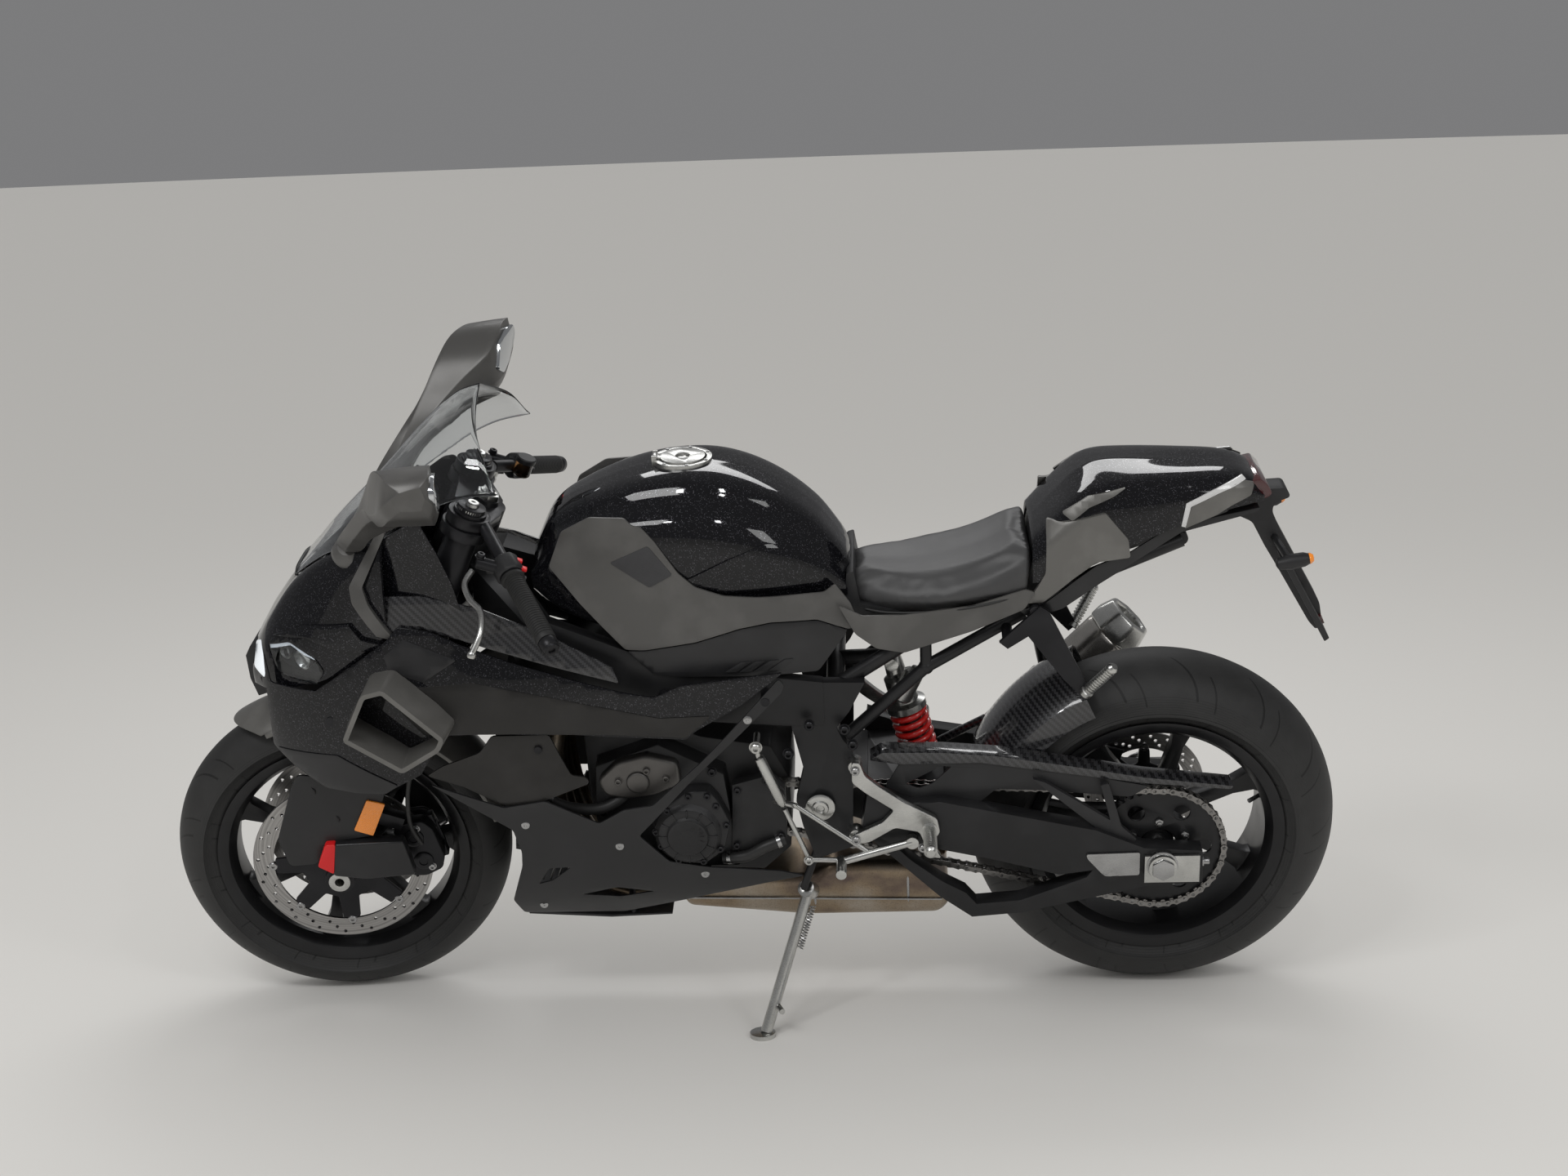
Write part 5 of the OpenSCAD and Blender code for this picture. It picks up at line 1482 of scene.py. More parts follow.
@dataclass
class Tail:
    """Tail cowl, its side panels, lamp and number plate arm."""

    satin: Outline = (
        (531, 939), (549, 935), (626, 953), (664, 905), (668, 873), (612, 868), (575, 841), (525, 799), (497, 796),
        (516, 826), (529, 851))
    lower: Outline = (
        (666, 878), (748, 928), (806, 955), (834, 964), (829, 938), (774, 922), (700, 877), (620, 827), (558, 784),
        (505, 766), (486, 780), (526, 792), (576, 832), (613, 859))
    end: Outline = ((756, 916), (767, 954), (815, 974), (850, 989), (872, 982), (866, 963), (834, 949), (811, 936))
    guide: Outline = ((751, 921), (758, 960), (808, 981), (852, 995), (858, 989), (812, 973), (766, 954), (758, 919))
    trim: Outline = (
        (186, 812), (225, 789), (294, 786), (408, 798), (496, 824), (512, 818), (494, 788), (408, 752), (293, 717),
        (247, 728), (213, 757))
    scoop: Outline = ((556, 950), (598, 978), (660, 990), (640, 978), (600, 962), (572, 940))
    arm: Outline = (
        (842, 912), (864, 930), (892, 950), (934, 952), (942, 936), (916, 926), (912, 912), (926, 880), (1000, 742),
        (1006, 708), (998, 690), (984, 706), (922, 816), (902, 850), (880, 893))
    under: Outline = ((505, 806), (620, 852), (760, 898), (880, 930), (884, 938), (700, 900), (505, 836))
    waists: Table = ((180, 146), (260, 136), (340, 132), (440, 128), (530, 124), (620, 118))

    def hump(self) -> Form:
        """The cowl as a thick shell with a flat crown.

        Returns:
            The form.
        """
        form = Form.skin(FLANKS.tail, lambda x, half, low, top: (
            (0.0, 0.0, top + 5.0 * math.exp(-((x - 620) / 90) ** 2)), (0.34, half * 0.52, top - 1),
            (0.47, half * 0.78, top - 6), (0.52, half * 0.86, top - 14),
            (0.76, half * 0.99, low + (top - low) * 0.5), (1.0, half, low)), 56, 56)
        return form.thick(5.0, (0.0, 0.0, 1.0)).ease(1.6)

    def waist(self, x: float, z: float) -> float:
        """Half width of the trim under the seat."""
        return row_at(self.waists, x)[1]

    def lamp(self) -> None:
        """Tail lamp: dark lens band with bright light guides."""
        lens = Form.outline(((852, 952), (896, 950), (904, 958), (897, 972), (884, 984), (858, 978)), 3.0)
        lens.slices(12.0).extrude(-62.0, 62.0).ease(2.0).piece("tail_lens", Finishes.TAIL_LENS, "tail_light")
        Panel("tail_light_guides", Finishes.LED_DIM, self.guide, FLANKS.rear, -2.0, 5.0, 1.0, 0.8).build()

    def plate_arm(self) -> None:
        """Arm for the number plate with indicators and a reflector."""
        form = Form.outline(self.arm, 6.0).slices(30.0).extrude(-24.0, 24.0).ease(3.0)
        board = Form.outline(((918, 852), (926, 856), (1008, 702), (1000, 696)), 2.0)
        form.join(board.extrude(-84.0, 84.0).ease(1.5))
        form.piece("plate_arm", Finishes.MATTE, "plate_holder")
        lamps, lens = Form(), Form()
        for side in (-1, 1):
            start, end = (902, side * 134, 862), (960, side * 134, 872)
            lamps.join(Form.rod((918, side * 18, 864), (924, side * 122, 866), 6.0, 20).ease(1.5),
                       Form.turned(((0, 3), (3, 9), (24, 13), (46, 12), (56, 8), (58, 0)), start, end, 32))
            lens.join(Form.turned(((54, 0), (54, 9.5), (57, 9), (61, 6), (62.5, 0)), start, end, 32))
        lamps.piece("rear_indicators", Finishes.MATTE)
        lens.piece("rear_indicator_lenses", Finishes.AMBER)
        reflector = Form.outline(((990, 716), (997, 718), (1003, 704), (996, 701)), 1.0).extrude(-34.0, 34.0)
        reflector.move(lambda p: p + Vector((6, 0, 3))).ease(1.2).piece("rear_reflector", Finishes.TAIL_LENS)

    def build(self) -> None:
        """Builds the tail."""
        self.hump().piece("tail_hump", Finishes.PAINT, "tail_cowl")
        Panel("tail_satin_sides", Finishes.SATIN, self.satin, FLANKS.rear, -4.0, 8.0, 4.0, 2.0, step=10.0,
              replaces=("tail_sides",)).build()
        Panel("tail_lower_sides", Finishes.PANEL, self.lower, FLANKS.rear, 3.0, 4.0, 3.0, 1.4).build()
        Panel("tail_end_sides", Finishes.SATIN, self.end, FLANKS.rear, -1.6, 4.0, 3.0, 1.4, step=10.0).build()
        Panel("seat_side_trims", Finishes.SATIN_COVER, self.trim, self.waist, 0.0, 4.0, 5.0, 1.8).build()
        Panel("tail_scoops", Finishes.SATIN, self.scoop, FLANKS.rear, -3.0, 5.0, 3.0, 1.8, step=10.0).build()
        Form.outline(self.under, 3.0).slices(30.0).extrude(-72.0, 72.0).ease(2.0).piece("tail_floor", Finishes.MATTE)
        self.lamp()
        self.plate_arm()


@dataclass
class Seat:
    """Rider's seat: a padded cushion that is filled by a cloth simulation."""

    voxel: float = 5.0
    pressure: float = 4.0
    cap: float = 7.0
    shrink: float = 0.975
    tray: Outline = (
        (194, 772), (200, 846), (212, 850), (222, 790), (300, 776), (430, 790), (500, 808), (514, 890), (528, 896),
        (524, 800), (430, 776), (300, 764))

    def pad(self) -> bpy.types.Object:
        """The cushion, filled with air and held to a small swell.

        Returns:
            The piece.
        """
        form = Form.of_node("seat")
        centre = sum((v.co for v in form.bm.verts), Vector()) / len(form.bm.verts)
        form.move(lambda p: centre + (p - centre) * self.shrink)
        piece = form.piece("seat_pad", Finishes.SEAT, "seat")
        remesh = piece.modifiers.new("even", "REMESH")
        remesh.mode, remesh.voxel_size, remesh.use_smooth_shade = "VOXEL", self.voxel * MM, True
        self.apply(piece)
        self.fill(piece)
        smoother = piece.modifiers.new("soft", "SMOOTH")
        smoother.factor, smoother.iterations = 0.5, 6
        level = piece.modifiers.new("fine", "SUBSURF")
        level.levels = level.render_levels = 1
        self.apply(piece)
        for face in piece.data.polygons:
            face.use_smooth = True
        return piece

    def fill(self, piece: bpy.types.Object) -> None:
        """Runs the cloth and keeps each point within the cap.

        Args:
            piece: the cushion.
        """
        start = [v.co.copy() for v in piece.data.vertices]
        cloth = piece.modifiers.new("fill", "CLOTH")
        cloth.settings.use_pressure = True
        cloth.settings.uniform_pressure_force = self.pressure
        cloth.settings.effector_weights.gravity = 0.0
        for frame_number in range(1, 21):
            bpy.context.scene.frame_set(frame_number)
        self.apply(piece)
        bpy.context.scene.frame_set(1)
        for vert, before in zip(piece.data.vertices, start):
            step = vert.co - before
            if step.length > self.cap * MM:
                vert.co = before + step.normalized() * self.cap * MM

    @staticmethod
    def apply(piece: bpy.types.Object) -> None:
        """Bakes the piece's modifiers into its mesh.

        Args:
            piece: the piece.
        """
        bpy.context.view_layer.update()
        solid = piece.evaluated_get(bpy.context.evaluated_depsgraph_get())
        mesh = bpy.data.meshes.new_from_object(solid)
        piece.modifiers.clear()
        piece.data = mesh

    def build(self) -> None:
        """Builds the seat, its tray and the piping along its lower edge."""
        self.pad()
        Form.outline(self.tray, 3.0).slices(24.0).extrude(-92.0, 92.0).ease(2.0).piece("seat_tray", Finishes.MATTE)
        edge = [(222, -86, 780), (262, -104, 779), (310, -118, 783), (370, -127, 790), (430, -128, 800),
                (486, -122, 812)]
        Form.tube(edge, 2.6).both().piece("seat_piping", Finishes.HOSE)


@dataclass
class Mirrors:
    """Mirror housings on stalks, with glass."""

    rings: Table = (
        (132, -640, -598, 922, 938), (180, -622, -574, 950, 970), (226, -596, -546, 986, 1016),
        (266, -568, -490, 1022, 1074), (300, -545, -432, 1046, 1122), (336, -528, -418, 1052, 1150),
        (372, -510, -412, 1066, 1160), (404, -492, -408, 1088, 1157), (420, -470, -418, 1108, 1146))
    glass: Outline = (
        (306, 1090), (332, 1136), (372, 1148), (408, 1144), (417, 1128), (402, 1110), (372, 1088), (334, 1074))

    def housing(self) -> Form:
        """One housing on the left.

        Returns:
            The form.
        """
        rings = []
        for y, front, back, low, high in self.rings:
            ring = [Vector(p) for p in ((front, -y, low + 20), (front + 14, -y, high - 8), (back - 6, -y, high),
                                        (back, -y, low + 20), (back - 8, -y, low), (front + 12, -y, low))]
            rings.append([tuple(at.lerp(ring[(k + step) % 6], 0.10)) for k, at in enumerate(ring)
                          for step in (-1, 1)])
        return Form.loft(rings, 96, 36)

    def build(self) -> None:
        """Builds the pair."""
        form = self.housing()
        form.join(Form.turned(((0, 30), (6, 31), (16, 27), (24, 18), (26, 0)), (-620, -124, 918),
                              (-618, -140, 940), 32))
        form.both().piece("mirror_housings", Finishes.SATIN_COVER, "mirrors")
        glass = Form.outline(self.glass, 8.0).extrude(-6.0, 3.0).ease(0.8)
        glass.move(lambda p: Vector((-425 + p.y + 0.15 * (p.x - 300), -p.x, p.z)))
        glass.outwards().both().piece("mirror_glass", Finishes.GLASS)


# Running gear


@dataclass
class Wheel:
    """One wheel: tyre with its tread, brake discs and their carriers; its rim is a carried CAD node.

    Attributes:
        name: "front" or "rear".
        body: the body it rides on.
        axle: x and z of its axle.
        radius: outer radius of the tyre.
        width: width of the tyre.
        rim_half: half width of the rim.
        discs: side offset of each brake disc.
        disc: outer radius of a disc.
        band: width of a disc's brake band.
        pitches: tread grooves around one side.
    """

    name: str
    body: Body
    axle: Point2
    radius: float
    width: float
    rim_half: float
    discs: tuple[float, ...]
    disc: float
    band: float
    pitches: int
    bead: float = 216.0

    def axes(self) -> tuple[Point3, Point3]:
        """Centre and turn that carry the frame to the wheel's own axes.

        Returns:
            The centre in metres and the turn in radians.
        """
        place = STANCE.of(self.body)
        turn = place.to_3x3().normalized().inverted().to_euler("XYZ")
        return tuple(place @ Vector((self.axle[0], 0.0, self.axle[1]))), tuple(turn)

    def at(self, y: float) -> Point3:
        """A point on the axle."""
        return (self.axle[0], y, self.axle[1])

    def tyre(self) -> None:
        """The tyre, turned from its section."""
        crown = self.width / 2 + 1
        arc = [math.radians(a) for a in range(-80, 81, 8)]
        tread = [(crown * math.sin(a), self.radius - crown + crown * math.cos(a)) for a in arc]
        tread = [(max(-self.width / 2, min(self.width / 2, y)), r) for y, r in tread]
        foot = self.rim_half - 8.2
        wall = [(self.width / 2 - 1, self.bead + 32), (self.width / 2 - 7, self.bead + 20),
                (foot + 2, self.bead + 10), (foot, self.bead + 1)]
        profile = [(-y, r) for y, r in reversed(wall)] + tread + wall
        profile.append(profile[0])
        centre, turn = self.axes()
        finish = Tread(self.name + "_tread", "tyre", (0.016, 0.016, 0.016), 0.58, centre=centre, tilt=turn,
                       pitches=self.pitches, width=self.width * MM, outer=self.radius * MM)
        tyre = Form.turned(profile, self.at(0.0), self.at(10.0), 160)
        tyre.piece(self.name + "_tyre_tread", finish, self.name + "_tyre", body=self.body, crease=50.0)

    def brakes(self) -> None:
        """Drilled bands, dark carriers and bobbins."""
        centre, turn = self.axes()
        finish = Turned(self.name + "_disc_steel", "bright_metal", (0.42, 0.41, 0.40), 0.30, 1.0, centre=centre,
                        tilt=turn)
        bands, carriers, bobbins = Form(), Form(), Form()
        inner = self.disc - self.band
        x, z = self.axle
        for y in self.discs:
            band = Form.turned(((-2.5, inner), (-2.5, self.disc - 0.6), (-1.9, self.disc), (1.9, self.disc),
                                (2.5, self.disc - 0.6), (2.5, inner), (-2.5, inner)), self.at(y), self.at(y + 10), 96)
            drills = Form()
            for px, pz in ringed(self.axle, 20, *((k / 3, inner + self.band * (0.28 + 0.24 * k)) for k in range(3))):
                drills.join(Form.rod((px, y - 6, pz), (px, y + 6, pz), 3.3, 10))
            bands.join(band.cut(drills))
            star = ringed(self.axle, 8, (-0.30, 0.62 * inner), (-0.16, 0.98 * inner), (0.16, 0.98 * inner),
                          (0.30, 0.62 * inner))
            plate = Form.outline(star, 3.0).extrude(y - 3.5, y + 3.5)
            carriers.join(plate.cut(Form.rod((x, y - 9, z), (x, y + 9, z), 31.0, 48)).ease(0.8))
            for px, pz in ringed(self.axle, 8, (0.0, inner + 2)):
                bobbins.join(Form.turned(((-4.6, 3), (-4.6, 7), (-3.4, 8.2), (3.4, 8.2), (4.6, 7), (4.6, 3),
                                          (-4.6, 3)), (px, y, pz), (px, y + 5, pz), 16))
        node = self.name + ("_discs" if len(self.discs) > 1 else "_disc")
        bands.piece(self.name + "_disc_bands", finish, node, body=self.body)
        carriers.piece(self.name + "_disc_carriers", Finishes.ANODISED, body=self.body)
        bobbins.piece(self.name + "_disc_bobbins", Finishes.STEEL, body=self.body)

    def build(self) -> None:
        """Builds the wheel."""
        self.tyre()
        self.brakes()
        x, z = self.axle
        valve = Form.rod((x + 198, -4, z + 40), (x + 170, -22, z + 34), 4.0, 16)
        valve.ease(0.8).piece(self.name + "_valve", Finishes.STEEL, body=self.body)


@dataclass
class FinalDrive:
    """Chain, toothed sprocket with its nuts, chain guard, axle adjusters and brace."""

    rear: Point2 = (728.17, 322.0)
    rear_r: float = 113.5
    drive: Point2 = (40.0, 424.0)
    drive_r: float = 43.0
    line: float = -114.0
    pitch: float = 15.875
    teeth: int = 45
    top: Outline = (
        (230, 521), (252, 535), (352, 533), (447, 524), (586, 499), (697, 477), (849, 457), (845, 451), (698, 466),
        (564, 488), (419, 512), (280, 512))
    plate: Outline = (
        (284, 516), (419, 516), (563, 491), (706, 458), (675, 438), (530, 454), (446, 459), (418, 434), (351, 445),
        (306, 440), (256, 467))
    window: Outline = ((290, 472), (352, 505), (370, 504), (336, 471), (312, 462))
    bay: Outline = (
        (262, 374), (353, 356), (440, 335), (517, 313), (585, 292), (495, 268), (414, 256), (352, 292), (300, 334))
    brace: Outline = (
        (506, 486), (528, 479), (640, 402), (622, 471), (636, 474), (659, 390), (686, 364), (674, 350), (636, 362),
        (618, 386))

    def loop(self) -> list[tuple[Vector, float]]:
        """Places and directions of the links around both sprockets.

        Returns:
            A point and an angle for each link.
        """
        a, b = Vector(self.drive), Vector(self.rear)
        run = b - a
        lead = math.atan2(run.y, run.x)
        tip = math.asin((self.rear_r - self.drive_r) / run.length)
        straight = math.sqrt(run.length ** 2 - (self.rear_r - self.drive_r) ** 2)
        wrap_b, wrap_a = math.pi + 2 * tip, math.pi - 2 * tip
        lengths = (straight, wrap_b * self.rear_r, straight, wrap_a * self.drive_r)
        count = 2 * round(sum(lengths) / self.pitch / 2)
        up = lead + math.pi / 2 + tip
        down = lead - math.pi / 2 - tip
        links = []
        for k in range(count):
            s = sum(lengths) * (k + 0.5) / count
            if s < lengths[0]:
                start = a + polar(self.drive_r, up)
                heading = up - math.pi / 2
                spot = start + polar(s, heading)
            elif s < sum(lengths[:2]):
                turn = up - (s - lengths[0]) / self.rear_r
                spot, heading = b + polar(self.rear_r, turn), turn - math.pi / 2
            elif s < sum(lengths[:3]):
                start = b + polar(self.rear_r, down)
                heading = down - math.pi / 2
                spot = start + polar(s - sum(lengths[:2]), heading)
            else:
                turn = down - (s - sum(lengths[:3])) / self.drive_r
                spot, heading = a + polar(self.drive_r, turn), turn - math.pi / 2
            links.append((spot, heading))
        return links

    def chain(self) -> None:
        """Link plates, wide and narrow in turn, with a roller at each joint."""
        half = self.pitch / 2
        shape = [(half + 6 * math.cos(a), 6 * math.sin(a)) for a in (-1.3, -0.5, 0.5, 1.3)] + [(0, 4.2)]
        shape += [(-x, z) for x, z in reversed(shape[:4])] + [(0, -4.2)]
        plates, rollers = Form(), Form()
        for k, (spot, heading) in enumerate(self.loop()):
            place = Matrix.Translation((spot.x, self.line, spot.y)) @ Matrix.Rotation(-heading, 4, "Y")
            gap = 7.0 if k % 2 else 4.8
            for side in (-1, 1):
                plates.join(Form.outline(shape).extrude(side * gap, side * (gap + 1.8)).turn(place))
            rollers.join(Form.rod((half, -8.8, 0), (half, 8.8, 0), 3.4, 8).turn(place))
        plates.piece("chain_plates", Finishes.CHAIN, "chain")
        rollers.piece("chain_pins", Finishes.STEEL)

    def sprocket(self) -> None:
        """Toothed ring on its carrier, with nuts."""
        x, z = self.rear
        foot, tip = self.rear_r - 5.5, self.rear_r + 0.2
        ring = ringed(self.rear, self.teeth, (-0.34, foot), (-0.12, tip), (0.12, tip), (0.34, foot))
        plate = Form.outline(ring).extrude(self.line - 3.0, self.line + 3.0)
        holes = Form.rod((x, self.line - 9, z), (x, self.line + 9, z), 36.0, 48)
        nuts = Form()
        for px, pz in ringed(self.rear, 6, (0.0, 78.0)):
            holes.join(Form.rod((px, self.line - 9, pz), (px, self.line + 9, pz), 15.0, 28))
        for px, pz in ringed(self.rear, 6, (0.5, 52.0)):
            nuts.join(Form.rod((px, self.line - 11, pz), (px, self.line - 3, pz), 8.0, 6).ease(0.8),
                      Form.rod((px, self.line - 15, pz), (px, self.line - 9, pz), 4.2, 14).ease(0.6))
        plate.cut(holes).ease(0.6)
        plate.join(Form.turned(((0, 33), (0, 62), (26, 62), (28, 50), (28, 33), (0, 33)), (x, self.line + 3, z),
                               (x, self.line + 40, z), 48))
        plate.piece("sprocket_ring", Finishes.RIM, "sprocket", body=Body.REAR_WHEEL)
        nuts.piece("sprocket_nuts", Finishes.STEEL, body=Body.REAR_WHEEL)

    def guard(self) -> None:
        """Woven top strip, dark side plate with a window, and the brace."""
        strip = Form.outline(self.top, 3.0).slices(24.0).extrude(-146.0, -106.0).ease(2.0)
        strip.piece("chain_guard_weave", Finishes.CARBON, "chain_guard")
        side = Form.outline(self.plate, 5.0).extrude(-143.0, -139.0)
        side.cut(Form.outline(self.window, 4.0).extrude(-160.0, -120.0)).ease(1.2)
        side.join(Form.outline(self.brace, 3.0).extrude(-160.0, -149.0).ease(2.0))
        side.piece("chain_guard_plate", Finishes.MATTE)

    def arm(self) -> None:
        """Swingarm with the open bay between its beam and its lower brace."""
        bay = Form.outline(self.bay, 8.0).extrude(-182.0, -131.0)
        Form.of_node("swingarm").cut(bay).ease(2.4).piece("swingarm_beams", Finishes.FRAME, "swingarm")

    def adjusters(self) -> None:
        """Axle nut, washers and the adjuster screws at the arm's ends."""
        x, z = self.rear
        form = Form()
        for side in (-1, 1):
            form.join(Form.rod((x, side * 178, z), (x, side * 196, z), 21.0, 6).ease(1.6),
                      Form.turned(((0, 13), (0, 27), (3, 27), (4, 25), (4, 13), (0, 13)), (x, side * 177, z),
                                  (x, side * 190, z), 40),
                      Form.rod((x + 60, side * 152, z - 8), (x + 84, side * 152, z - 8), 6.0, 20).ease(1.0),
                      Form.rod((x + 66, side * 152, z - 8), (x + 74, side * 152, z - 8), 10.0, 6).ease(1.0))
            plate = Form.outline(((598, 345), (690, 347), (690, 302), (630, 300), (600, 336)), 4.0)
            form.join(plate.extrude(side * 171, side * 176).ease(1.0))
        form.piece("axle_nuts", Finishes.STEEL)

    def build(self) -> None:
        """Builds the drive."""
        self.arm()
        self.chain()
        self.sprocket()
        self.guard()
        self.adjusters()


@dataclass
class RearSuspension:
    """Shock absorber with its spring, body and gas bottle."""

    top: Point3 = (272.0, 0.0, 648.0)
    low: Point3 = (328.0, 0.0, 425.0)
    coil: float = 29.0
    wire: float = 5.5
    turns: int = 6

    def build(self) -> None:
        """Builds the shock."""
        top, low = Vector(self.top), Vector(self.low)
        run = low - top
        path = helix(top + run * 0.46, top + run * 0.88, Vector((0.0, 1.0, 0.0)), self.coil, self.turns, 12)
        Form.tube(path, self.wire, 12, 2).piece("shock_spring", Finishes.SPRING, "shock")
        length = run.length
        body = Form.turned(((0, 0), (0, 16), (length * 0.16, 18), (length * 0.18, 25), (length * 0.38, 25),
                            (length * 0.40, 36), (length * 0.45, 36), (length * 0.46, 21), (length * 0.7, 21),
                            (length * 0.7, 11), (length * 0.88, 11), (length * 0.88, 35), (length * 0.92, 35),
                            (length * 0.94, 16), (length, 16), (length, 0)), self.top, self.low, 48)
        bottle = Form.turned(((0, 0), (1, 15), (4, 18), (56, 18), (60, 15), (61, 0)), (312, -34, 634),
                             (284, -30, 574), 40)
        cap = Form.turned(((0, 0), (0, 9), (5, 9), (6, 7), (6, 0)), (313, -34, 635), (318, -35, 645), 20)
        link = Form.rod((296, -34, 606), (272, 0, 618), 8.0, 20).ease(1.0)
        body.join(bottle, cap, link, Form.rod((272, -40, 648), (272, 40, 648), 12.0, 28).ease(1.5))
        body.piece("shock_body", Finishes.BRIGHT)
        Form.rod((272, 0, 648), (178, 0, 646), 14.0, 24).ease(2.0).piece("shock_mount", Finishes.FRAME)


@dataclass
class Rests:
    """Rider's and passenger's foot rests with their hangers and the shifter rod."""

    hanger: Outline = (
        (200, 538), (214, 538), (222, 513), (245, 492), (289, 459), (343, 428), (348, 400), (333, 382), (350, 349),
        (332, 352), (312, 402), (271, 411), (228, 384), (201, 378), (197, 396), (249, 421), (270, 445), (222, 480),
        (200, 500))

    def peg(self, start: Point3, end: Point3, radius: float) -> Form:
        """A ribbed foot peg.

        Args:
            start: its root.
            end: its tip.
            radius: its radius over the ribs.

        Returns:
            The form.
        """
        length = (Vector(end) - Vector(start)).length
        profile = [(0.0, 0.0), (0.0, radius * 1.15), (8.0, radius * 1.15)]
        place = 10.0
        while place < length - 8.0:
            profile += [(place, radius * 0.82), (place + 2.2, radius * 0.82), (place + 2.8, radius),
                        (place + 5.4, radius)]
            place += 6.0
        profile += [(length - 4.0, radius * 0.9), (length, radius * 0.6), (length, 0.0)]
        return Form.turned(profile, start, end, 28)

    def build(self) -> None:
        """Builds the rests."""
        plate = Form.outline(self.hanger, 5.0).extrude(-187.0, -174.0).ease(2.6, 3)
        for x, z in ((206, 524), (204, 390)):
            plate.join(Form.rod((x, -176, z), (x, -150, z), 12.0, 28).ease(1.5))
        plate.both().piece("rider_hangers", Finishes.BRIGHT, "peg_hangers")
        screws = Form.bolts(((206, 524), (204, 390), (330, 408), (318, 372)), -187, 7.0)
        screws.both().piece("hanger_screws", Finishes.STEEL)
        pillion = Form.of_node("peg_hangers")
        front = [v for v in pillion.bm.verts if v.co.x < 430]
        bmesh.ops.delete(pillion.bm, geom=front, context="VERTS")
        pillion.ease(2.2).piece("passenger_hangers", Finishes.ANODISED)
        pegs = self.peg((330, -182, 408), (330, -268, 408), 11.5)
        pegs.join(self.peg((596, -132, 634), (640, -168, 700), 10.0))
        pegs.both().piece("ribbed_pegs", Finishes.BRIGHT, "foot_pegs")
        rod = Form.rod((84, -186, 452), (122, -188, 356), 4.2, 18).ease(0.8)
        rod.join(Form.rod((44, -182, 549), (40, -182, 570), 5.0, 18).ease(0.8),
                 Form.turned(((0, 5), (2, 8.5), (10, 9.5), (78, 9.5), (92, 8), (100, 5), (106, 0)), (44, -183, 552),
                             (84, -186, 452), 28),
                 Form.bolt((40, -186, 572), (0, -1, 0), 9.0), Form.rod((40, -190, 572), (40, -140, 572), 6.0, 18),
                 Form.bolt((122, -192, 354), (0, -1, 0), 7.0), Form.rod((122, -190, 354), (176, -190, 352), 4.5, 16))
        rod.piece("shifter_rod", Finishes.BRIGHT)


